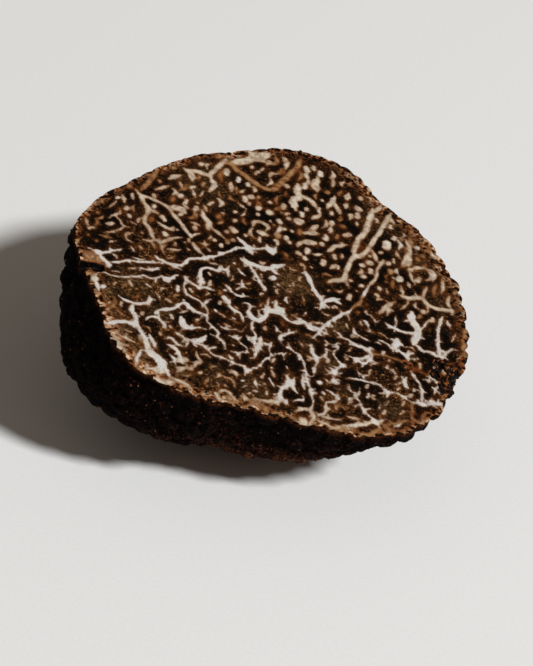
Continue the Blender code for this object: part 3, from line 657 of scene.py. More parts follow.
def vein_field(places, veins):
    """Distance to the nearest vein's edge, less than 0 inside one, and the vein's colour from 0, white, to
    1, copper, at places on the cut in millimetres. A vein is its colour, its width and its points."""
    flat = flattened(places)
    moved = places.copy()
    wildness = 1.0 - CALM_BEHIND * behind_middle(places)
    for amount, size in EDGE_WANDER:
        moved += amount * wildness[:, None] * noise_vectors(flat, size)[:, :2]
    swell = 1.0 + WIDTH_WANDER[0] * noise_at(flat, WIDTH_WANDER[1])
    total = np.full(len(places), math.exp(-MERGE * FAR))
    weight = np.full(len(places), 1e-9)
    colour = np.zeros(len(places))
    for tone, width, points in veins:
        path = smooth_path(points)
        run = np.concatenate([[0.0], np.cumsum(np.linalg.norm(np.diff(path, axis=0), axis=1))])
        taper = smooth_step(np.minimum(run, run[-1] - run) / TAPER_LENGTH)
        half = 0.5 * width * (1.0 if run[-1] < TAPER_LENGTH else END_SHARE + (1.0 - END_SHARE) * taper)
        half = np.broadcast_to(half, len(path))
        low = path.min(0) - FAR
        high = path.max(0) + FAR
        near = np.flatnonzero(((moved > low) & (moved < high)).all(1))
        inside = np.full(len(near), -np.inf)
        at_once = 40
        for start in range(0, len(path), at_once):
            steps = moved[near][:, None, :] - path[None, start:start + at_once, :]
            depth = half[None, start:start + at_once] * swell[near][:, None] - np.sqrt((steps ** 2).sum(2))
            inside = np.maximum(inside, depth.max(1))
        strength = np.exp(MERGE * (inside - VEIN_SLIMMING))
        total[near] += strength
        weight[near] += strength
        colour[near] += tone * strength
    return -np.log(total) / MERGE, colour / weight


def drawn_veins():
    """The veins of the lists above, each as its colour, its width and its points."""
    return [(tone, width, np.array(numbers).reshape(-1, 2))
            for tone, veins in ((0.0, WHITE), (0.25, CREAM), (0.6, TAN), (0.95, COPPER))
            for width, *numbers in veins]


def spur_veins(drawn):
    """Short thorns that stand out from the sides of the drawn veins."""
    rng = np.random.default_rng(SPUR_SEED)
    spurs = []
    for tone, width, points in drawn:
        path = smooth_path(points)
        calm = behind_middle(path)
        for index in range(1, len(path) - 1):
            if rng.random() < VEIN_STEP / SPUR_SPACING * (1.0 - calm[index]):
                run = path[index + 1] - path[index - 1]
                aside = np.array([-run[1], run[0]]) / np.linalg.norm(run) * rng.choice([-1.0, 1.0])
                lean = aside + run / np.linalg.norm(run) * rng.normal(0.0, SPUR_LEAN)
                reach = 0.5 * width + rng.uniform(*SPUR_REACH)
                spurs.append((tone, SPUR_WIDTH, np.stack([path[index], path[index] + reach * lean])))
    return spurs


def speck_veins(drawn):
    """Specks and short bent veins scattered where the drawn ones leave room."""
    rng = np.random.default_rng(SPECK_SEED)
    centres = rng.uniform(-SPECK_FIELD, SPECK_FIELD, (SPECK_TRIES, 2))
    azimuth = np.arctan2(centres[:, 1], centres[:, 0])
    rim_gap = np.maximum(SPECK_RIM_GAP, around(RIM_BAND, azimuth) + SPECK_BAND_GAP)
    centres = centres[np.hypot(centres[:, 0], centres[:, 1]) < outline_radius(azimuth) / MM - rim_gap]
    count = len(centres)
    behind = behind_middle(centres)

    def between(pair):
        return pair[0] + (pair[1] - pair[0]) * behind

    def drawn_between(pair):
        low, high = (between([ends[side] for ends in pair]) for side in (0, 1))
        return low + (high - low) * rng.random(count)

    flat = flattened(centres)
    wild = between(SPECK_WILDNESS)
    turn = math.pi * (0.5 + wild * noise_at(flat, SPECK_FLOW)) + rng.normal(0.0, SPECK_TURN, count) * wild
    run = np.column_stack([np.cos(turn), np.sin(turn)])
    aside = np.column_stack([-run[:, 1], run[:, 0]])
    width = drawn_between(SPECK_WIDTH)
    length = drawn_between(SPECK_LENGTH)[:, None]
    bend = rng.uniform(-SPECK_BEND, SPECK_BEND, (count, 1)) * length
    paths = np.stack([centres - 0.5 * length * run, centres + bend * aside, centres + 0.5 * length * run], 1)
    gap = np.min([vein_field(paths[:, place], drawn)[0] for place in range(3)], axis=0)
    room = gap > 0.5 * width + between(SPECK_CLEARANCE)
    room &= sunken(flat * MM) < SPECK_SUNK
    room &= rng.random(count) < between(SPECK_SHARE)
    spacing = between(SPECK_SPACING) + SPECK_ROOM * length[:, 0]
    is_tan = rng.random(count) < between(TAN_SHARE)
    tone = np.where(is_tan, rng.uniform(*TAN_TONES, count), rng.uniform(*CREAM_TONES, count))
    kept = []
    for index in np.flatnonzero(room):
        near = np.linalg.norm(centres[kept] - centres[index], axis=1) if kept else np.array([np.inf])
        if near.min() > spacing[index]:
            kept.append(index)
    return [(tone[index], width[index] + 2.0 * VEIN_SLIMMING, paths[index]) for index in kept]


def patches(places, spots):
    """Soft round patches: how strong they are at places on the cut in millimetres."""
    moved = places + PATCH_WANDER[0] * noise_vectors(flattened(places), PATCH_WANDER[1])[:, :2]
    strength = np.zeros(len(places))
    for x, y, radius, amount in spots:
        square = ((moved - (x, y)) ** 2).sum(1) / radius ** 2
        strength = np.maximum(strength, amount * np.exp(-square ** PATCH_FALL))
    return strength


def add_attribute(mesh, name, values, domain='POINT'):
    """Store one number, or one vector, for each point or face."""
    if values.dtype == bool:
        attribute = mesh.attributes.new(name, 'BOOLEAN', domain)
        attribute.data.foreach_set("value", values)
    elif values.ndim == 1:
        attribute = mesh.attributes.new(name, 'FLOAT', domain)
        attribute.data.foreach_set("value", values.astype(np.float32))
    else:
        attribute = mesh.attributes.new(name, 'FLOAT_VECTOR', domain)
        attribute.data.foreach_set("vector", values.astype(np.float32).ravel())


def smooth_underside(share, azimuth, triangles, rim_start):
    """The rind below the cut before its warts rise, in the frame of the cut: points and outward normals."""
    dip = dips_for(share)
    level = np.cos(dip)
    under = body_points(np.stack([level * np.cos(azimuth), level * np.sin(azimuth), -np.sin(dip)], 1))
    under[rim_start:, 2] = 0.0
    outward = vertex_normals(under, triangles[:, ::-1])
    outward[rim_start:, 2] = 0.0
    return under, outward / np.linalg.norm(outward, axis=1, keepdims=True)


def distance_to(rim, azimuth):
    """How far the rim is from the centre of the cut at each azimuth."""
    rim_azimuth = np.arctan2(rim[:, 1], rim[:, 0])
    rim_azimuth = np.where(rim_azimuth < -1e-9, rim_azimuth + 2.0 * math.pi, rim_azimuth)
    order = np.argsort(rim_azimuth)
    reach = np.hypot(rim[:, 0], rim[:, 1])[order]
    return np.interp(azimuth, rim_azimuth[order], reach, period=2.0 * math.pi)


def wart_fields(under, at_rim, rim_start):
    """What the relief reads about the warts, for the cut, where it is that of the rim, and the underside."""
    border, centre_gap, owner = wart_pattern(under, wart_places())
    rng = np.random.default_rng(WART_SEED + 1)
    count = owner.max() + 1
    vary = 1.0 + WART_VARIATION * (2.0 * rng.random(count) - 1.0)
    dent = np.where(rng.random(count) < DENTED_SHARE, rng.random(count), 0.0)
    fields = {"border": border, "centre_gap": centre_gap, "vary": vary[owner], "dent": dent[owner]}
    return {name: np.concatenate([values[at_rim], values[:rim_start]]) for name, values in fields.items()}


def relief_shares(points, world, rim_gap):
    """How strongly the warts, and the wrinkles on them, stand out at each point."""
    level_gap = np.hypot(world[:, 0], world[:, 1])
    low = world[:, 2] < WORN_BELOW
    worn = np.where(low, smooth_step((level_gap - REST_RADIUS) / WORN_FADE), 1.0)
    worn *= np.clip(PATCHY_RELIEF[0] + PATCHY_RELIEF[1] * noise_at(points, PATCHY_SIZE), *PATCHY_LIMITS)
    turned = np.arctan2(points[:, 1], points[:, 0]) - ROUGHEST_AZIMUTH
    near_rim = smooth_step(1.0 + rim_gap / CALM_DEPTH)
    worn *= 1.0 - near_rim * (CALM_AVERAGE - CALM_SWING * np.cos(turned))
    rugged = RUGGED_AT_RIM + (1.0 - RUGGED_AT_RIM) * smooth_step(-rim_gap / RUGGED_DEPTH)
    return worn, rugged


def soil_fields(points, world, rugged):
    """How dusty the rind is, with painted light low down in front and painted fill light behind added to the
    dust, and how many crumbs cling to it, at each point.
    """
    patchy = np.clip(1.0 + SOIL_PATCHES[0] * noise_at(points, SOIL_PATCHES[1]), FEWEST_CRUMBS, None)
    turned = np.arctan2(world[:, 1], world[:, 0]) - DUST_AND_LIGHT_AZIMUTH
    # Painted light, partly real dust: browner low down towards the front, where light falls on the rind.
    low_down = smooth_step((DUST_AND_LIGHT_HEIGHT - world[:, 2]) / DUST_AND_LIGHT_HEIGHT)
    in_front = np.clip(np.cos(turned), 0.0, 1.0) * (DUST_AND_LIGHT_IN_FRONT[0] + DUST_AND_LIGHT_IN_FRONT[1] * low_down)
    # Painted fill light: browner behind, where the rind lies in shade.
    behind = smooth_step(world[:, 1] / DUST_AND_FILL_BEHIND_REACH)
    dust_and_painted_light = np.clip(DUST_EVERYWHERE + in_front + DUST_AND_FILL_BEHIND * behind, 0.0, DUST_AND_LIGHT_LIMIT) * (0.5 + 0.5 * patchy)
    return dust_and_painted_light, patchy * (0.5 + dust_and_painted_light) * rugged


def truffle_base():
    """The half with a smooth rind: the cut and the underside as two discs that share their rim, with what
    the relief and the materials need stored on the points."""
    share, azimuth, triangles = ring_disc(RINGS)
    disc_count = len(share)
    rim_start = disc_count - 6 * RINGS
    under, outward = smooth_underside(share, azimuth, triangles, rim_start)

    # The cut: its rings are the rim drawn in towards the centre.
    rim = under[rim_start:]
    rim_distance = distance_to(rim, azimuth)
    radius = share * rim_distance
    cut = np.stack([radius * np.cos(azimuth), radius * np.sin(azimuth), np.zeros(disc_count)], 1)
    cut[rim_start:] = rim

    # One list of points: the cut, then the underside without its rim.
    points = np.concatenate([cut, under[:rim_start]])
    index = np.concatenate([np.arange(disc_count, disc_count + rim_start), np.arange(rim_start, disc_count)])
    faces = np.concatenate([triangles, index[triangles[:, ::-1]]])
    on_cut = np.arange(len(points)) < disc_count

    # Warts at the rim carry the outer rings of the cut with them.
    rim_step = np.round(azimuth * (6 * RINGS) / (2.0 * math.pi)).astype(int) % (6 * RINGS)
    at_rim = rim_start + rim_step
    fields = wart_fields(under, at_rim, rim_start)
    carried = outward[at_rim] * (share ** RIM_FOLLOW)[:, None]
    outward = np.concatenate([carried, outward[:rim_start]])

    # The fold, the crumbled patch and the blade's unevenness lower and raise the cut.
    flat = flattened(points)
    lowered = sunken(flat)
    inside_rim = 1.0 - smooth_step((share - (1.0 - RIM_FADE)) / RIM_FADE)
    rise = np.zeros(disc_count)
    for height, size in UNEVENNESS:
        rise += height * noise_at(flat[:disc_count], size)
    places = cut[:, :2] / MM
    drawn = drawn_veins()
    vein, tone = vein_field(places, drawn + spur_veins(drawn) + speck_veins(drawn))
    rise += VEIN_RAISE * smooth_step(0.5 - vein / VEIN_RAISE_EDGE)
    points[:disc_count, 2] += rise * (RIM_RELIEF + (1.0 - RIM_RELIEF) * inside_rim) - lowered[:disc_count]
    reach = SQUEEZE_REACH * lowered[disc_count:] + 1e-9
    height = points[disc_count:, 2]
    squeezed = height * (1.0 - lowered[disc_count:] / reach) - lowered[disc_count:]
    points[disc_count:, 2] = np.where(height > -reach, np.minimum(squeezed, height), height)

    # What the materials read on the cut, with nothing of it on the rind.
    paleness = around(RIM_PALENESS, azimuth)
    nothing = np.zeros(rim_start)
    fields["vein"] = np.concatenate([vein, nothing + FAR])
    fields["tone"] = np.concatenate([tone, nothing])
    fields["stain"] = np.concatenate([patches(places, STAINS), nothing])
    fields["grainy"] = np.concatenate([patches(places, GRAINY), nothing])
    fields["sunk"] = np.concatenate([lowered[:disc_count] / MM, nothing])
    fields["rim_band"] = np.concatenate([around(RIM_BAND, azimuth), nothing + 1.0])
    fields["rim_pale"] = np.concatenate([paleness, paleness[:rim_start]])
    # Millimetres from the rim: more than 0 on the cut and less on the rind.
    fields["rim_gap"] = np.concatenate([(1.0 - share) * rim_distance / MM,
                                        -(1.0 - share[:rim_start]) * RIND_LENGTH])

    pose = np.array(POSE)
    world = points @ pose[:3, :3].T + pose[:3, 3]
    fields["worn"], fields["rugged"] = relief_shares(points, world, fields["rim_gap"])
    # The rind's soil dust with painted light mixed in, and where crumbs cling.
    fields["dust_and_painted_light"], clinging = soil_fields(points, world, fields["rugged"])
    broken = BROKEN_CRUMBS * smooth_step(lowered[:disc_count] / BROKEN_DEPTH) * (places[:, 0] > BROKEN_FROM)
    fields["crumbly"] = np.where(on_cut, np.concatenate([broken, nothing]), clinging)
    fields["crumb_size"] = np.where(on_cut, BROKEN_CRUMB_SIZE, 1.0)

    mesh = bpy.data.meshes.new("black_truffle")
    mesh.from_pydata(world.tolist(), [], faces.tolist(), shade_flat=False)
    mesh.update()
    for name, values in fields.items():
        add_attribute(mesh, name, values)
    add_attribute(mesh, "outward", outward @ pose[:3, :3].T)
    add_attribute(mesh, "cut_face", np.arange(len(faces)) < len(triangles), 'FACE')

    # The edges round the rim are sharp.
    ends = np.empty(2 * len(mesh.edges), int)
    mesh.edges.foreach_get("vertices", ends)
    is_rim = (ends >= rim_start) & (ends < disc_count)
    add_attribute(mesh, "sharp_edge", is_rim.reshape(-1, 2).all(1), 'EDGE')
    return mesh


# ---------------------------------------------------------------------------------------------------
# Node trees
# ---------------------------------------------------------------------------------------------------
MATHS = 'ShaderNodeMath'
VECTORS = 'ShaderNodeVectorMath'
RANGE = 'ShaderNodeMapRange'
NOISE = 'ShaderNodeTexNoise'
MIX = 'ShaderNodeMix'
RAMP = 'ShaderNodeValToRGB'
STORED = 'GeometryNodeInputNamedAttribute'


def linear(hex_colour):
    """An sRGB colour such as '#c8b79f' as linear red, green, blue and alpha."""
    channels = [int(hex_colour[place:place + 2], 16) / 255.0 for place in (1, 3, 5)]
    return [c / 12.92 if c <= 0.04045 else ((c + 0.055) / 1.055) ** 2.4 for c in channels] + [1.0]


def add(tree, kind, inputs=(), out=0, stops=(), **settings):
    """Add a node and give back one of its outputs. Inputs come in order, or by place or name in a dict: a
    socket is linked, and anything else is the input's value. Stops are the places and colours of a ramp,
    and settings are the node's own."""
    node = tree.nodes.new(kind)
    for name, value in settings.items():
        setattr(node, name, value)
    for count, (place, colour) in enumerate(stops):
        elements = node.color_ramp.elements
        element = elements[count] if count < len(elements) else elements.new(place)
        element.position = place
        element.color = linear(colour)
    for place, value in (inputs.items() if isinstance(inputs, dict) else enumerate(inputs)):
        if isinstance(value, bpy.types.NodeSocket):
            tree.links.new(value, node.inputs[place])
        else:
            node.inputs[place].default_value = value
    return node.outputs[out] if node.outputs else None


def new_tree(name, values):
    """A geometry tree with a mesh and named numbers going in and a mesh coming out, and its inputs."""
    tree = bpy.data.node_groups.new(name, 'GeometryNodeTree')
    tree.interface.new_socket("Geometry", in_out='INPUT', socket_type='NodeSocketGeometry')
    for label, value in values.items():
        kind = 'NodeSocketInt' if isinstance(value, int) else 'NodeSocketFloat'
        tree.interface.new_socket(label, in_out='INPUT', socket_type=kind)
    tree.interface.new_socket("Geometry", in_out='OUTPUT', socket_type='NodeSocketGeometry')
    return tree, tree.nodes.new('NodeGroupInput').outputs


RIND_VALUES = {"Rise": WART_RISE, "Peak": WART_PEAK, "Groove": GROOVE_HALF_WIDTH, "Dent": 0.22 * MM,
               "Wrinkle height": WRINKLE_HEIGHT, "Wrinkle size": WRINKLE_SIZE}
PYRAMID_REACH = 0.95 * MM
DENT_REACH = (0.15 * MM, 0.60 * MM)
ABOVE_FLOOR = (-1.0, -1.0, 0.0)      # the lowest x, y and z that a point may have


def warty_rind_tree(flesh, rind):
    """Raises the warts out of the rind, keeps what rests on the floor flat and gives the materials."""
    tree, given = new_tree("warty rind", RIND_VALUES)
    border, centre_gap, vary, dent, worn, rugged = (
        add(tree, STORED, {"Name": name}, data_type='FLOAT')
        for name in ("border", "centre_gap", "vary", "dent", "worn", "rugged"))

    steep = add(tree, MATHS, (given["Rise"], 0.5), operation='MULTIPLY')
    plateau = add(tree, RANGE, {0: border, 2: given["Groove"], 4: steep}, interpolation_type='SMOOTHSTEP')
    peak = add(tree, MATHS, (given["Peak"], steep), operation='ADD')
    pyramid = add(tree, RANGE, {0: border, 2: PYRAMID_REACH, 4: peak})
    tip = add(tree, RANGE, (centre_gap, *DENT_REACH, given["Dent"], 0.0), interpolation_type='SMOOTHSTEP')
    sunk = add(tree, MATHS, (tip, dent), operation='MULTIPLY')
    wart = add(tree, MATHS, (plateau, pyramid), operation='ADD')
    wart = add(tree, MATHS, (wart, vary), operation='MULTIPLY')
    wart = add(tree, MATHS, (wart, sunk), operation='SUBTRACT')
    place = add(tree, 'GeometryNodeInputPosition')
    per_metre = add(tree, MATHS, (1.0, given["Wrinkle size"]), operation='DIVIDE')
    wrinkle = add(tree, NOISE, {"Vector": place, "Scale": per_metre, "Detail": 4.0, "Roughness": 0.75})
    wrinkle = add(tree, RANGE, (wrinkle, 0.0, 1.0, -1.0, 1.0))
    wrinkle = add(tree, MATHS, (wrinkle, rugged), operation='MULTIPLY')
    wart = add(tree, MATHS, (wrinkle, given["Wrinkle height"], wart), operation='MULTIPLY_ADD')
    relief = add(tree, MATHS, (wart, worn), operation='MULTIPLY')

    outward = add(tree, STORED, {"Name": "outward"}, data_type='FLOAT_VECTOR')
    shift = add(tree, VECTORS, {"Vector": outward, "Scale": relief}, operation='SCALE')
    mesh = add(tree, 'GeometryNodeSetPosition', {"Geometry": given["Geometry"], "Offset": shift})
    place = add(tree, 'GeometryNodeInputPosition')
    above = add(tree, VECTORS, (place, ABOVE_FLOOR), operation='MAXIMUM')
    mesh = add(tree, 'GeometryNodeSetPosition', {"Geometry": mesh, "Position": above})
    mesh = add(tree, 'GeometryNodeRealizeInstances', (mesh,))
    is_cut = add(tree, STORED, {"Name": "cut_face"}, data_type='BOOLEAN')
    mesh = add(tree, 'GeometryNodeSetMaterial', {"Geometry": mesh, "Material": rind})
    mesh = add(tree, 'GeometryNodeSetMaterial', {"Geometry": mesh, "Selection": is_cut, "Material": flesh})
    add(tree, 'NodeGroupOutput', (mesh,))
    return tree


CRUMB_VALUES = {"Per square metre": 7.0e5, "Smallest": 0.05 * MM, "Largest": 0.17 * MM, "Seed": 11}
CRUMB_CLEARANCE = 0.4 * MM           # no crumbs closer to the floor
FULL_TURN = (2.0 * math.pi,) * 3


def crumb_tree(soil):
    """Scatters crumbs over the rind and where the flesh has broken, each a small rough lump half sunk in."""
    tree, given = new_tree("soil crumbs", CRUMB_VALUES)
    crumbly, crumb_size = (add(tree, STORED, {"Name": name}, data_type='FLOAT')
                           for name in ("crumbly", "crumb_size"))
    height = add(tree, 'ShaderNodeSeparateXYZ', (add(tree, 'GeometryNodeInputPosition'),), out=2)
    lifted = add(tree, MATHS, (height, CRUMB_CLEARANCE), operation='GREATER_THAN')
    density = add(tree, MATHS, (crumbly, given["Per square metre"]), operation='MULTIPLY')
    density = add(tree, MATHS, (density, lifted), operation='MULTIPLY')
    points = add(tree, 'GeometryNodeDistributePointsOnFaces',
                 {"Mesh": given["Geometry"], "Density": density, "Seed": given["Seed"]})
    lump = add(tree, 'GeometryNodeMeshIcoSphere', {"Radius": 1.0, "Subdivisions": 1})
    size = add(tree, 'FunctionNodeRandomValue',
               {0: given["Smallest"], 1: given["Largest"], "Seed": given["Seed"]}, data_type='FLOAT_VECTOR')
    size = add(tree, VECTORS, {"Vector": size, "Scale": crumb_size}, operation='SCALE')
    turn = add(tree, 'FunctionNodeRandomValue', {1: FULL_TURN, "Seed": given["Seed"]},
               data_type='FLOAT_VECTOR')
    crumbs = add(tree, 'GeometryNodeInstanceOnPoints',
                 {"Points": points, "Instance": lump, "Rotation": turn, "Scale": size})
    crumbs = add(tree, 'GeometryNodeRealizeInstances', (crumbs,))
    crumbs = add(tree, 'GeometryNodeSetMaterial', {"Geometry": crumbs, "Material": soil})
    add(tree, 'NodeGroupOutput', (crumbs,))
    return tree


def add_object(name, data):
    """A new object in the scene."""
    thing = bpy.data.objects.new(name, data)
    bpy.context.scene.collection.objects.link(thing)
    return thing


def made_by(name, mesh, tree, values):
    """The plain mesh object that a node tree makes out of a mesh."""
    source = add_object(name + "_source", mesh)
    modifier = source.modifiers.new("maker", 'NODES')
    modifier.node_group = tree
    for item in tree.interface.items_tree:
        if item.name in values:
            modifier[item.identifier] = values[item.name]
    depsgraph = bpy.context.evaluated_depsgraph_get()
    result = bpy.data.meshes.new_from_object(source.evaluated_get(depsgraph), preserve_all_data_layers=True,
                                             depsgraph=depsgraph)
    source.modifiers.remove(modifier)
    bpy.data.objects.remove(source)
    result.name = name
    return add_object(name, result)


# ---------------------------------------------------------------------------------------------------
# Materials
# ---------------------------------------------------------------------------------------------------
def new_material(name, roughness, ior, specular=0.5):
    """A material with a Principled shader: its tree and that shader."""
    material = bpy.data.materials.new(name)
    material.use_nodes = True
    tree = material.node_tree
    shader = tree.nodes["Principled BSDF"]
    shader.inputs["Roughness"].default_value = roughness
    shader.inputs["IOR"].default_value = ior
    shader.inputs["Specular IOR Level"].default_value = specular
    return material, tree, shader


def flesh_material():
    """Truffle flesh, freshly cut: nearly black spore tissue with a fine brown grain, moist enough for small
    glints, and pale sterile veins, white in the middle and tan to copper towards the rim, each with a
    translucent brown edge. Inside the fold and the broken hollows it is painted black as shade."""
    material, tree, shader = new_material("truffle flesh, fresh knife cut", 0.5, 1.40, 0.10)
    place = add(tree, 'ShaderNodeTexCoord', out="Object")
    fine, middle, coarse, broad = (
        add(tree, NOISE, {"Vector": place, "Scale": 1.0 / (size * MM), "Detail": detail, "Roughness": 0.65})
        for size, detail in ((0.15, 2.0), (0.40, 3.0), (0.8, 1.0), (2.6, 2.0)))
    vein, tone, stain, grainy, rim_gap, rim_band, rim_pale, sunk = (
        add(tree, 'ShaderNodeAttribute', out="Fac", attribute_name=name)
        for name in ("vein", "tone", "stain", "grainy", "rim_gap", "rim_band", "rim_pale", "sunk"))

    # Spore tissue: brown grains on black, more of them where the flesh is grainy.
    speckle = -0.205
    for part, share in ((fine, 0.52), (middle, 0.56), (broad, 0.28), (grainy, 0.08)):
        speckle = add(tree, MATHS, (part, share, speckle), operation='MULTIPLY_ADD')
    colour = add(tree, RAMP, (speckle,), stops=(
        (0.49, '#020100'), (0.55, '#180b03'), (0.60, '#45270f'), (0.66, '#845930'), (0.74, '#bd9566')))

    # Translucent brown patches.
    patchy = add(tree, RANGE, (middle, 0.25, 0.65, 0.0, 0.85))
    patchy = add(tree, MATHS, (patchy, stain), operation='MULTIPLY')
    olive = add(tree, RAMP, (middle,), stops=((0.35, '#3a220e'), (0.55, '#694a29'), (0.70, '#957450')))

    # Veins: the ragged distance to their edge, and their colour by tone and depth.
    edge = add(tree, MATHS, (vein, -0.30), operation='ADD')
    for part, share in ((middle, 0.38), (fine, 0.22)):
        edge = add(tree, MATHS, (part, share, edge), operation='MULTIPLY_ADD')
    halo = add(tree, MATHS, (broad, -0.9, 0.45), operation='MULTIPLY_ADD')
    halo = add(tree, MATHS, (halo, edge), operation='ADD')
    halo = add(tree, RANGE, (halo, 0.48, 0.0))
    halo = add(tree, MATHS, (halo, 1.7), operation='POWER')
    halo = add(tree, MATHS, (halo, 0.55), operation='MULTIPLY')
    toned = add(tree, MATHS, (broad, -0.25), operation='ADD')
    toned = add(tree, MATHS, (toned, 0.5, tone), operation='MULTIPLY_ADD')
    core = add(tree, RAMP, (toned,), stops=(
        (0.10, '#c3c0bc'), (0.32, '#c6bba9'), (0.65, '#a58662'), (0.95, '#98622f'), (1.0, '#8a5228')))
    brim = add(tree, RAMP, (toned,), stops=((0.12, '#957a60'), (0.45, '#855d36'), (1.0, '#5e3013')))
    soft = add(tree, MATHS, (tone, -0.45, -0.10), operation='MULTIPLY_ADD')
    depth = add(tree, RANGE, (edge, 0.07, soft))
    pale = add(tree, MIX, {0: depth, 6: brim, 7: core}, out=2, data_type='RGBA')
    blotch = add(tree, RANGE, (coarse, 0.54, 0.40))
    blotch = add(tree, MATHS, (blotch, toned), operation='MULTIPLY', use_clamp=True)
    pale = add(tree, MIX, {0: blotch, 6: pale, 7: linear('#5a2c10')}, out=2, data_type='RGBA')
    is_vein = add(tree, RANGE, (edge, 0.12, -0.02))

    # The band inside the rim: brown to tan, ragged and broken, with bites of dark rind out of it.
    inward = add(tree, MATHS, (rim_gap, rim_band), operation='DIVIDE')
    inward = add(tree, MATHS, (inward, -3.6), operation='ADD')
    for part, share in ((middle, 1.2), (broad, 2.6), (coarse, 3.4)):
        inward = add(tree, MATHS, (part, share, inward), operation='MULTIPLY_ADD')
    band = add(tree, RANGE, (inward, 1.15, 0.65))
    strength = add(tree, RANGE, (rim_pale, 0.0, 0.6, 0.55, 1.0))
    band = add(tree, MATHS, (band, strength), operation='MULTIPLY')
    bark = -0.175
    for part, share in ((coarse, 0.95), (middle, 0.18), (rim_pale, 0.11)):
        bark = add(tree, MATHS, (part, share, bark), operation='MULTIPLY_ADD')
    bark = add(tree, RAMP, (bark,), stops=(
        (0.33, '#0c0401'), (0.42, '#54290f'), (0.49, '#885730'), (0.56, '#b79372'), (0.66, '#d6c6b0')))
    bites = add(tree, MATHS, (rim_gap, -1.05), operation='ADD')
    for part, share in ((coarse, 1.6), (middle, 0.4)):
        bites = add(tree, MATHS, (part, share, bites), operation='MULTIPLY_ADD')
    bites = add(tree, RANGE, (bites, 0.12, 0.0))

    # Broken hollows: an orange lip, and painted shade inside them, black with a few orange-brown grains.
    lip = add(tree, RANGE, (sunk, 0.01, 0.06, 0.0, 0.8))
    inside = add(tree, RANGE, (sunk, 0.08, 0.22))
    shade_and_debris = add(tree, RAMP, (fine,), stops=((0.56, '#010000'), (0.66, '#120803'), (0.76, '#6a3a1c')))

    for share, layer in ((patchy, olive), (halo, linear('#572c0d')), (band, bark), (is_vein, pale),
                         (bites, linear('#0a0502')), (lip, linear('#8d4c22')), (inside, shade_and_debris)):
        colour = add(tree, MIX, {0: share, 6: colour, 7: layer}, out=2, data_type='RGBA')
    tree.links.new(colour, shader.inputs["Base Color"])

    wet = add(tree, RANGE, (middle, 0.3, 0.7, 0.60, 0.34))
    tree.links.new(wet, shader.inputs["Roughness"])
    grain = add(tree, RANGE, (band, 0.0, 1.0, 1.0, 0.25))
    height = add(tree, MATHS, (grain, speckle), operation='MULTIPLY')
    bump = add(tree, 'ShaderNodeBump', {"Strength": 1.0, "Distance": 0.10 * MM, "Height": height})
    tree.links.new(bump, shader.inputs["Normal"])
    return material


def rind_material():
    """Truffle rind, dried and brushed: black, matt and grainy, with reddish brown grains, more of them where
    soil clings and where light is painted in, low down in front and behind, and patches of brown just under
    the edge of the cut."""
    material, tree, shader = new_material("truffle rind, brushed", 0.95, 1.45, 0.04)
    place = add(tree, 'ShaderNodeTexCoord', out="Object")
    fine, middle, lumpy = (
        add(tree, NOISE, {"Vector": place, "Scale": 1.0 / (size * MM), "Detail": 3.0, "Roughness": 0.7})
        for size in (0.18, 0.45, 1.3))
    rim_gap, rim_pale, dust_and_painted_light = (add(tree, 'ShaderNodeAttribute', out="Fac", attribute_name=name)
                               for name in ("rim_gap", "rim_pale", "dust_and_painted_light"))
    # The dust attribute browns the grains: real soil dust, with painted light low in front and painted fill
    # light behind.
    grains = -0.15
    for part, share in ((fine, 0.45), (middle, 0.55), (lumpy, 0.20), (dust_and_painted_light, 0.17)):
        grains = add(tree, MATHS, (part, share, grains), operation='MULTIPLY_ADD')
    colour = add(tree, RAMP, (grains,), stops=(
        (0.46, '#030101'), (0.54, '#110806'), (0.61, '#331a12'), (0.69, '#693c27'), (0.79, '#ab7750')))
    under = add(tree, MATHS, (middle, -3.0, rim_gap), operation='MULTIPLY_ADD')
    under = add(tree, RANGE, (under, -2.2, -1.4))
    under = add(tree, MATHS, (under, rim_pale), operation='MULTIPLY')
    bark = add(tree, RAMP, (middle,), stops=((0.42, '#1a0a04'), (0.52, '#5c2f14'), (0.64, '#a26a3c')))
    colour = add(tree, MIX, {0: under, 6: colour, 7: bark}, out=2, data_type='RGBA')
    tree.links.new(colour, shader.inputs["Base Color"])
    height = add(tree, MATHS, (fine, 0.5, middle), operation='MULTIPLY_ADD')
    bump = add(tree, 'ShaderNodeBump', {"Strength": 1.0, "Distance": 0.45 * MM, "Height": height})
    tree.links.new(bump, shader.inputs["Normal"])
    return material


def soil_material():
    """Dry soil: matt brown crumbs, some paler."""
    material, tree, shader = new_material("soil crumbs, dry", 0.9, 1.45, 0.2)
    place = add(tree, 'ShaderNodeTexCoord', out="Object")
    lump = add(tree, NOISE, {"Vector": place, "Scale": 1.0 / (0.45 * MM), "Detail": 2.0})
    colour = add(tree, RAMP, (lump,), stops=(
        (0.42, '#050201'), (0.54, '#1c0d06'), (0.64, '#5f3318'), (0.72, '#b87c48')))
    tree.links.new(colour, shader.inputs["Base Color"])
    return material


def paper_material():
    """Matt off-white studio paper: a barely visible tooth."""
    material, tree, shader = new_material("studio paper, matt", 0.9, 1.4, 0.3)
    place = add(tree, 'ShaderNodeTexCoord', out="Object")
    tooth = add(tree, NOISE, {"Vector": place, "Scale": 1.0 / (0.45 * MM), "Detail": 2.0, "Roughness": 0.6})
    colour = add(tree, RAMP, (tooth,), stops=((0.35, '#e0e1e1'), (0.65, '#e3e4e4')))
    tree.links.new(colour, shader.inputs["Base Color"])
    bump = add(tree, 'ShaderNodeBump', {"Strength": 0.3, "Distance": 0.02 * MM, "Height": tooth})
    tree.links.new(bump, shader.inputs["Normal"])
    return material


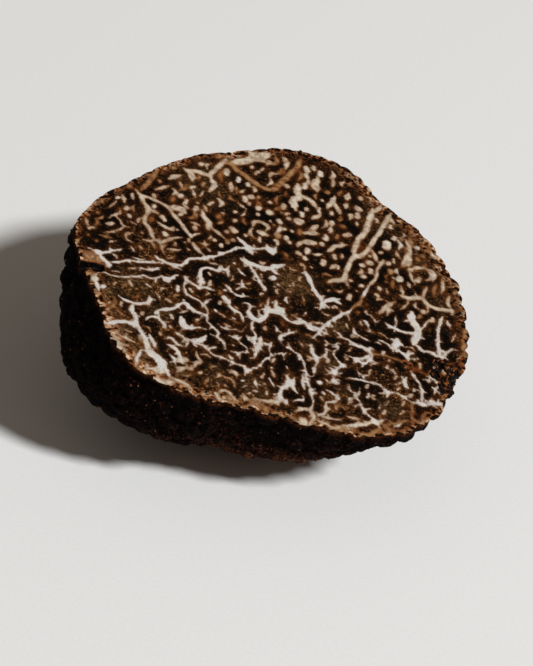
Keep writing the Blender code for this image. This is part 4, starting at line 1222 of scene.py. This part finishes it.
# ---------------------------------------------------------------------------------------------------
# Studio
# ---------------------------------------------------------------------------------------------------
CAMERA_AIM = Vector((2.09, 3.10, 7.63)) * MM
CAMERA_DISTANCE = 345.0 * MM
CAMERA_ELEVATION = math.radians(34.0)
CAMERA_ROLL = math.radians(10.0)
CAMERA_VIEW_ANGLE = math.radians(13.81)

KEY_AZIMUTH = math.radians(-25.0)
KEY_ELEVATION = math.radians(43.0)
KEY_DISTANCE = 2500.0 * MM
KEY_SIZE = 370.0 * MM
KEY_POWER = 75.5
SKY = '#ffecda'
SKY_STRENGTH = 0.16
PAPER_REACH = 2.0


def add_camera():
    """Looks down on the cut from the front, the frame rolled a little."""
    level = Vector((0.0, -math.cos(CAMERA_ELEVATION), math.sin(CAMERA_ELEVATION)))
    up = Vector((0.0, math.sin(CAMERA_ELEVATION), math.cos(CAMERA_ELEVATION)))
    side = Vector((1.0, 0.0, 0.0))
    right = side * math.cos(CAMERA_ROLL) + up * math.sin(CAMERA_ROLL)
    top = up * math.cos(CAMERA_ROLL) - side * math.sin(CAMERA_ROLL)
    camera = add_object("camera", bpy.data.cameras.new("camera"))
    camera.data.sensor_fit = 'VERTICAL'
    camera.data.angle_y = CAMERA_VIEW_ANGLE
    camera.data.clip_start = 0.01
    camera.matrix_world = Matrix.LocRotScale(
        CAMERA_AIM + level * CAMERA_DISTANCE, Matrix((right, top, level)).transposed(), None)
    bpy.context.scene.camera = camera


def add_key_light():
    """A round soft light that faces the truffle from high on the right."""
    level = math.cos(KEY_ELEVATION)
    away = Vector((level * math.cos(KEY_AZIMUTH), level * math.sin(KEY_AZIMUTH), math.sin(KEY_ELEVATION)))
    light = add_object("key", bpy.data.lights.new("key", 'AREA'))
    light.data.shape = 'DISK'
    light.data.size = KEY_SIZE
    light.data.energy = KEY_POWER
    light.matrix_world = Matrix.LocRotScale(away * KEY_DISTANCE, away.to_track_quat('Z', 'Y'), None)


def add_floor():
    """A wide sheet of paper under everything."""
    mesh = bpy.data.meshes.new("paper")
    corners = [(x * PAPER_REACH, y * PAPER_REACH, 0.0) for x, y in ((-1, -1), (1, -1), (1, 1), (-1, 1))]
    mesh.from_pydata(corners, [], [(0, 1, 2, 3)])
    mesh.materials.append(paper_material())
    floor = add_object("paper", mesh)


def add_studio():
    """Camera, key light, faint warm sky and floor."""
    add_camera()
    add_key_light()
    world = bpy.data.worlds.new("studio")
    bpy.context.scene.world = world
    world.use_nodes = True
    background = world.node_tree.nodes["Background"]
    background.inputs["Color"].default_value = linear(SKY)
    background.inputs["Strength"].default_value = SKY_STRENGTH
    bpy.context.scene.view_settings.view_transform = 'Standard'
    add_floor()


add_studio()
truffle = made_by("black_truffle", truffle_base(), warty_rind_tree(flesh_material(), rind_material()),
                  RIND_VALUES)
crumbs = made_by("soil_crumbs", truffle.data, crumb_tree(soil_material()), CRUMB_VALUES)
for piece in (truffle, crumbs):
    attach(piece, "root")
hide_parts("truffle_half")
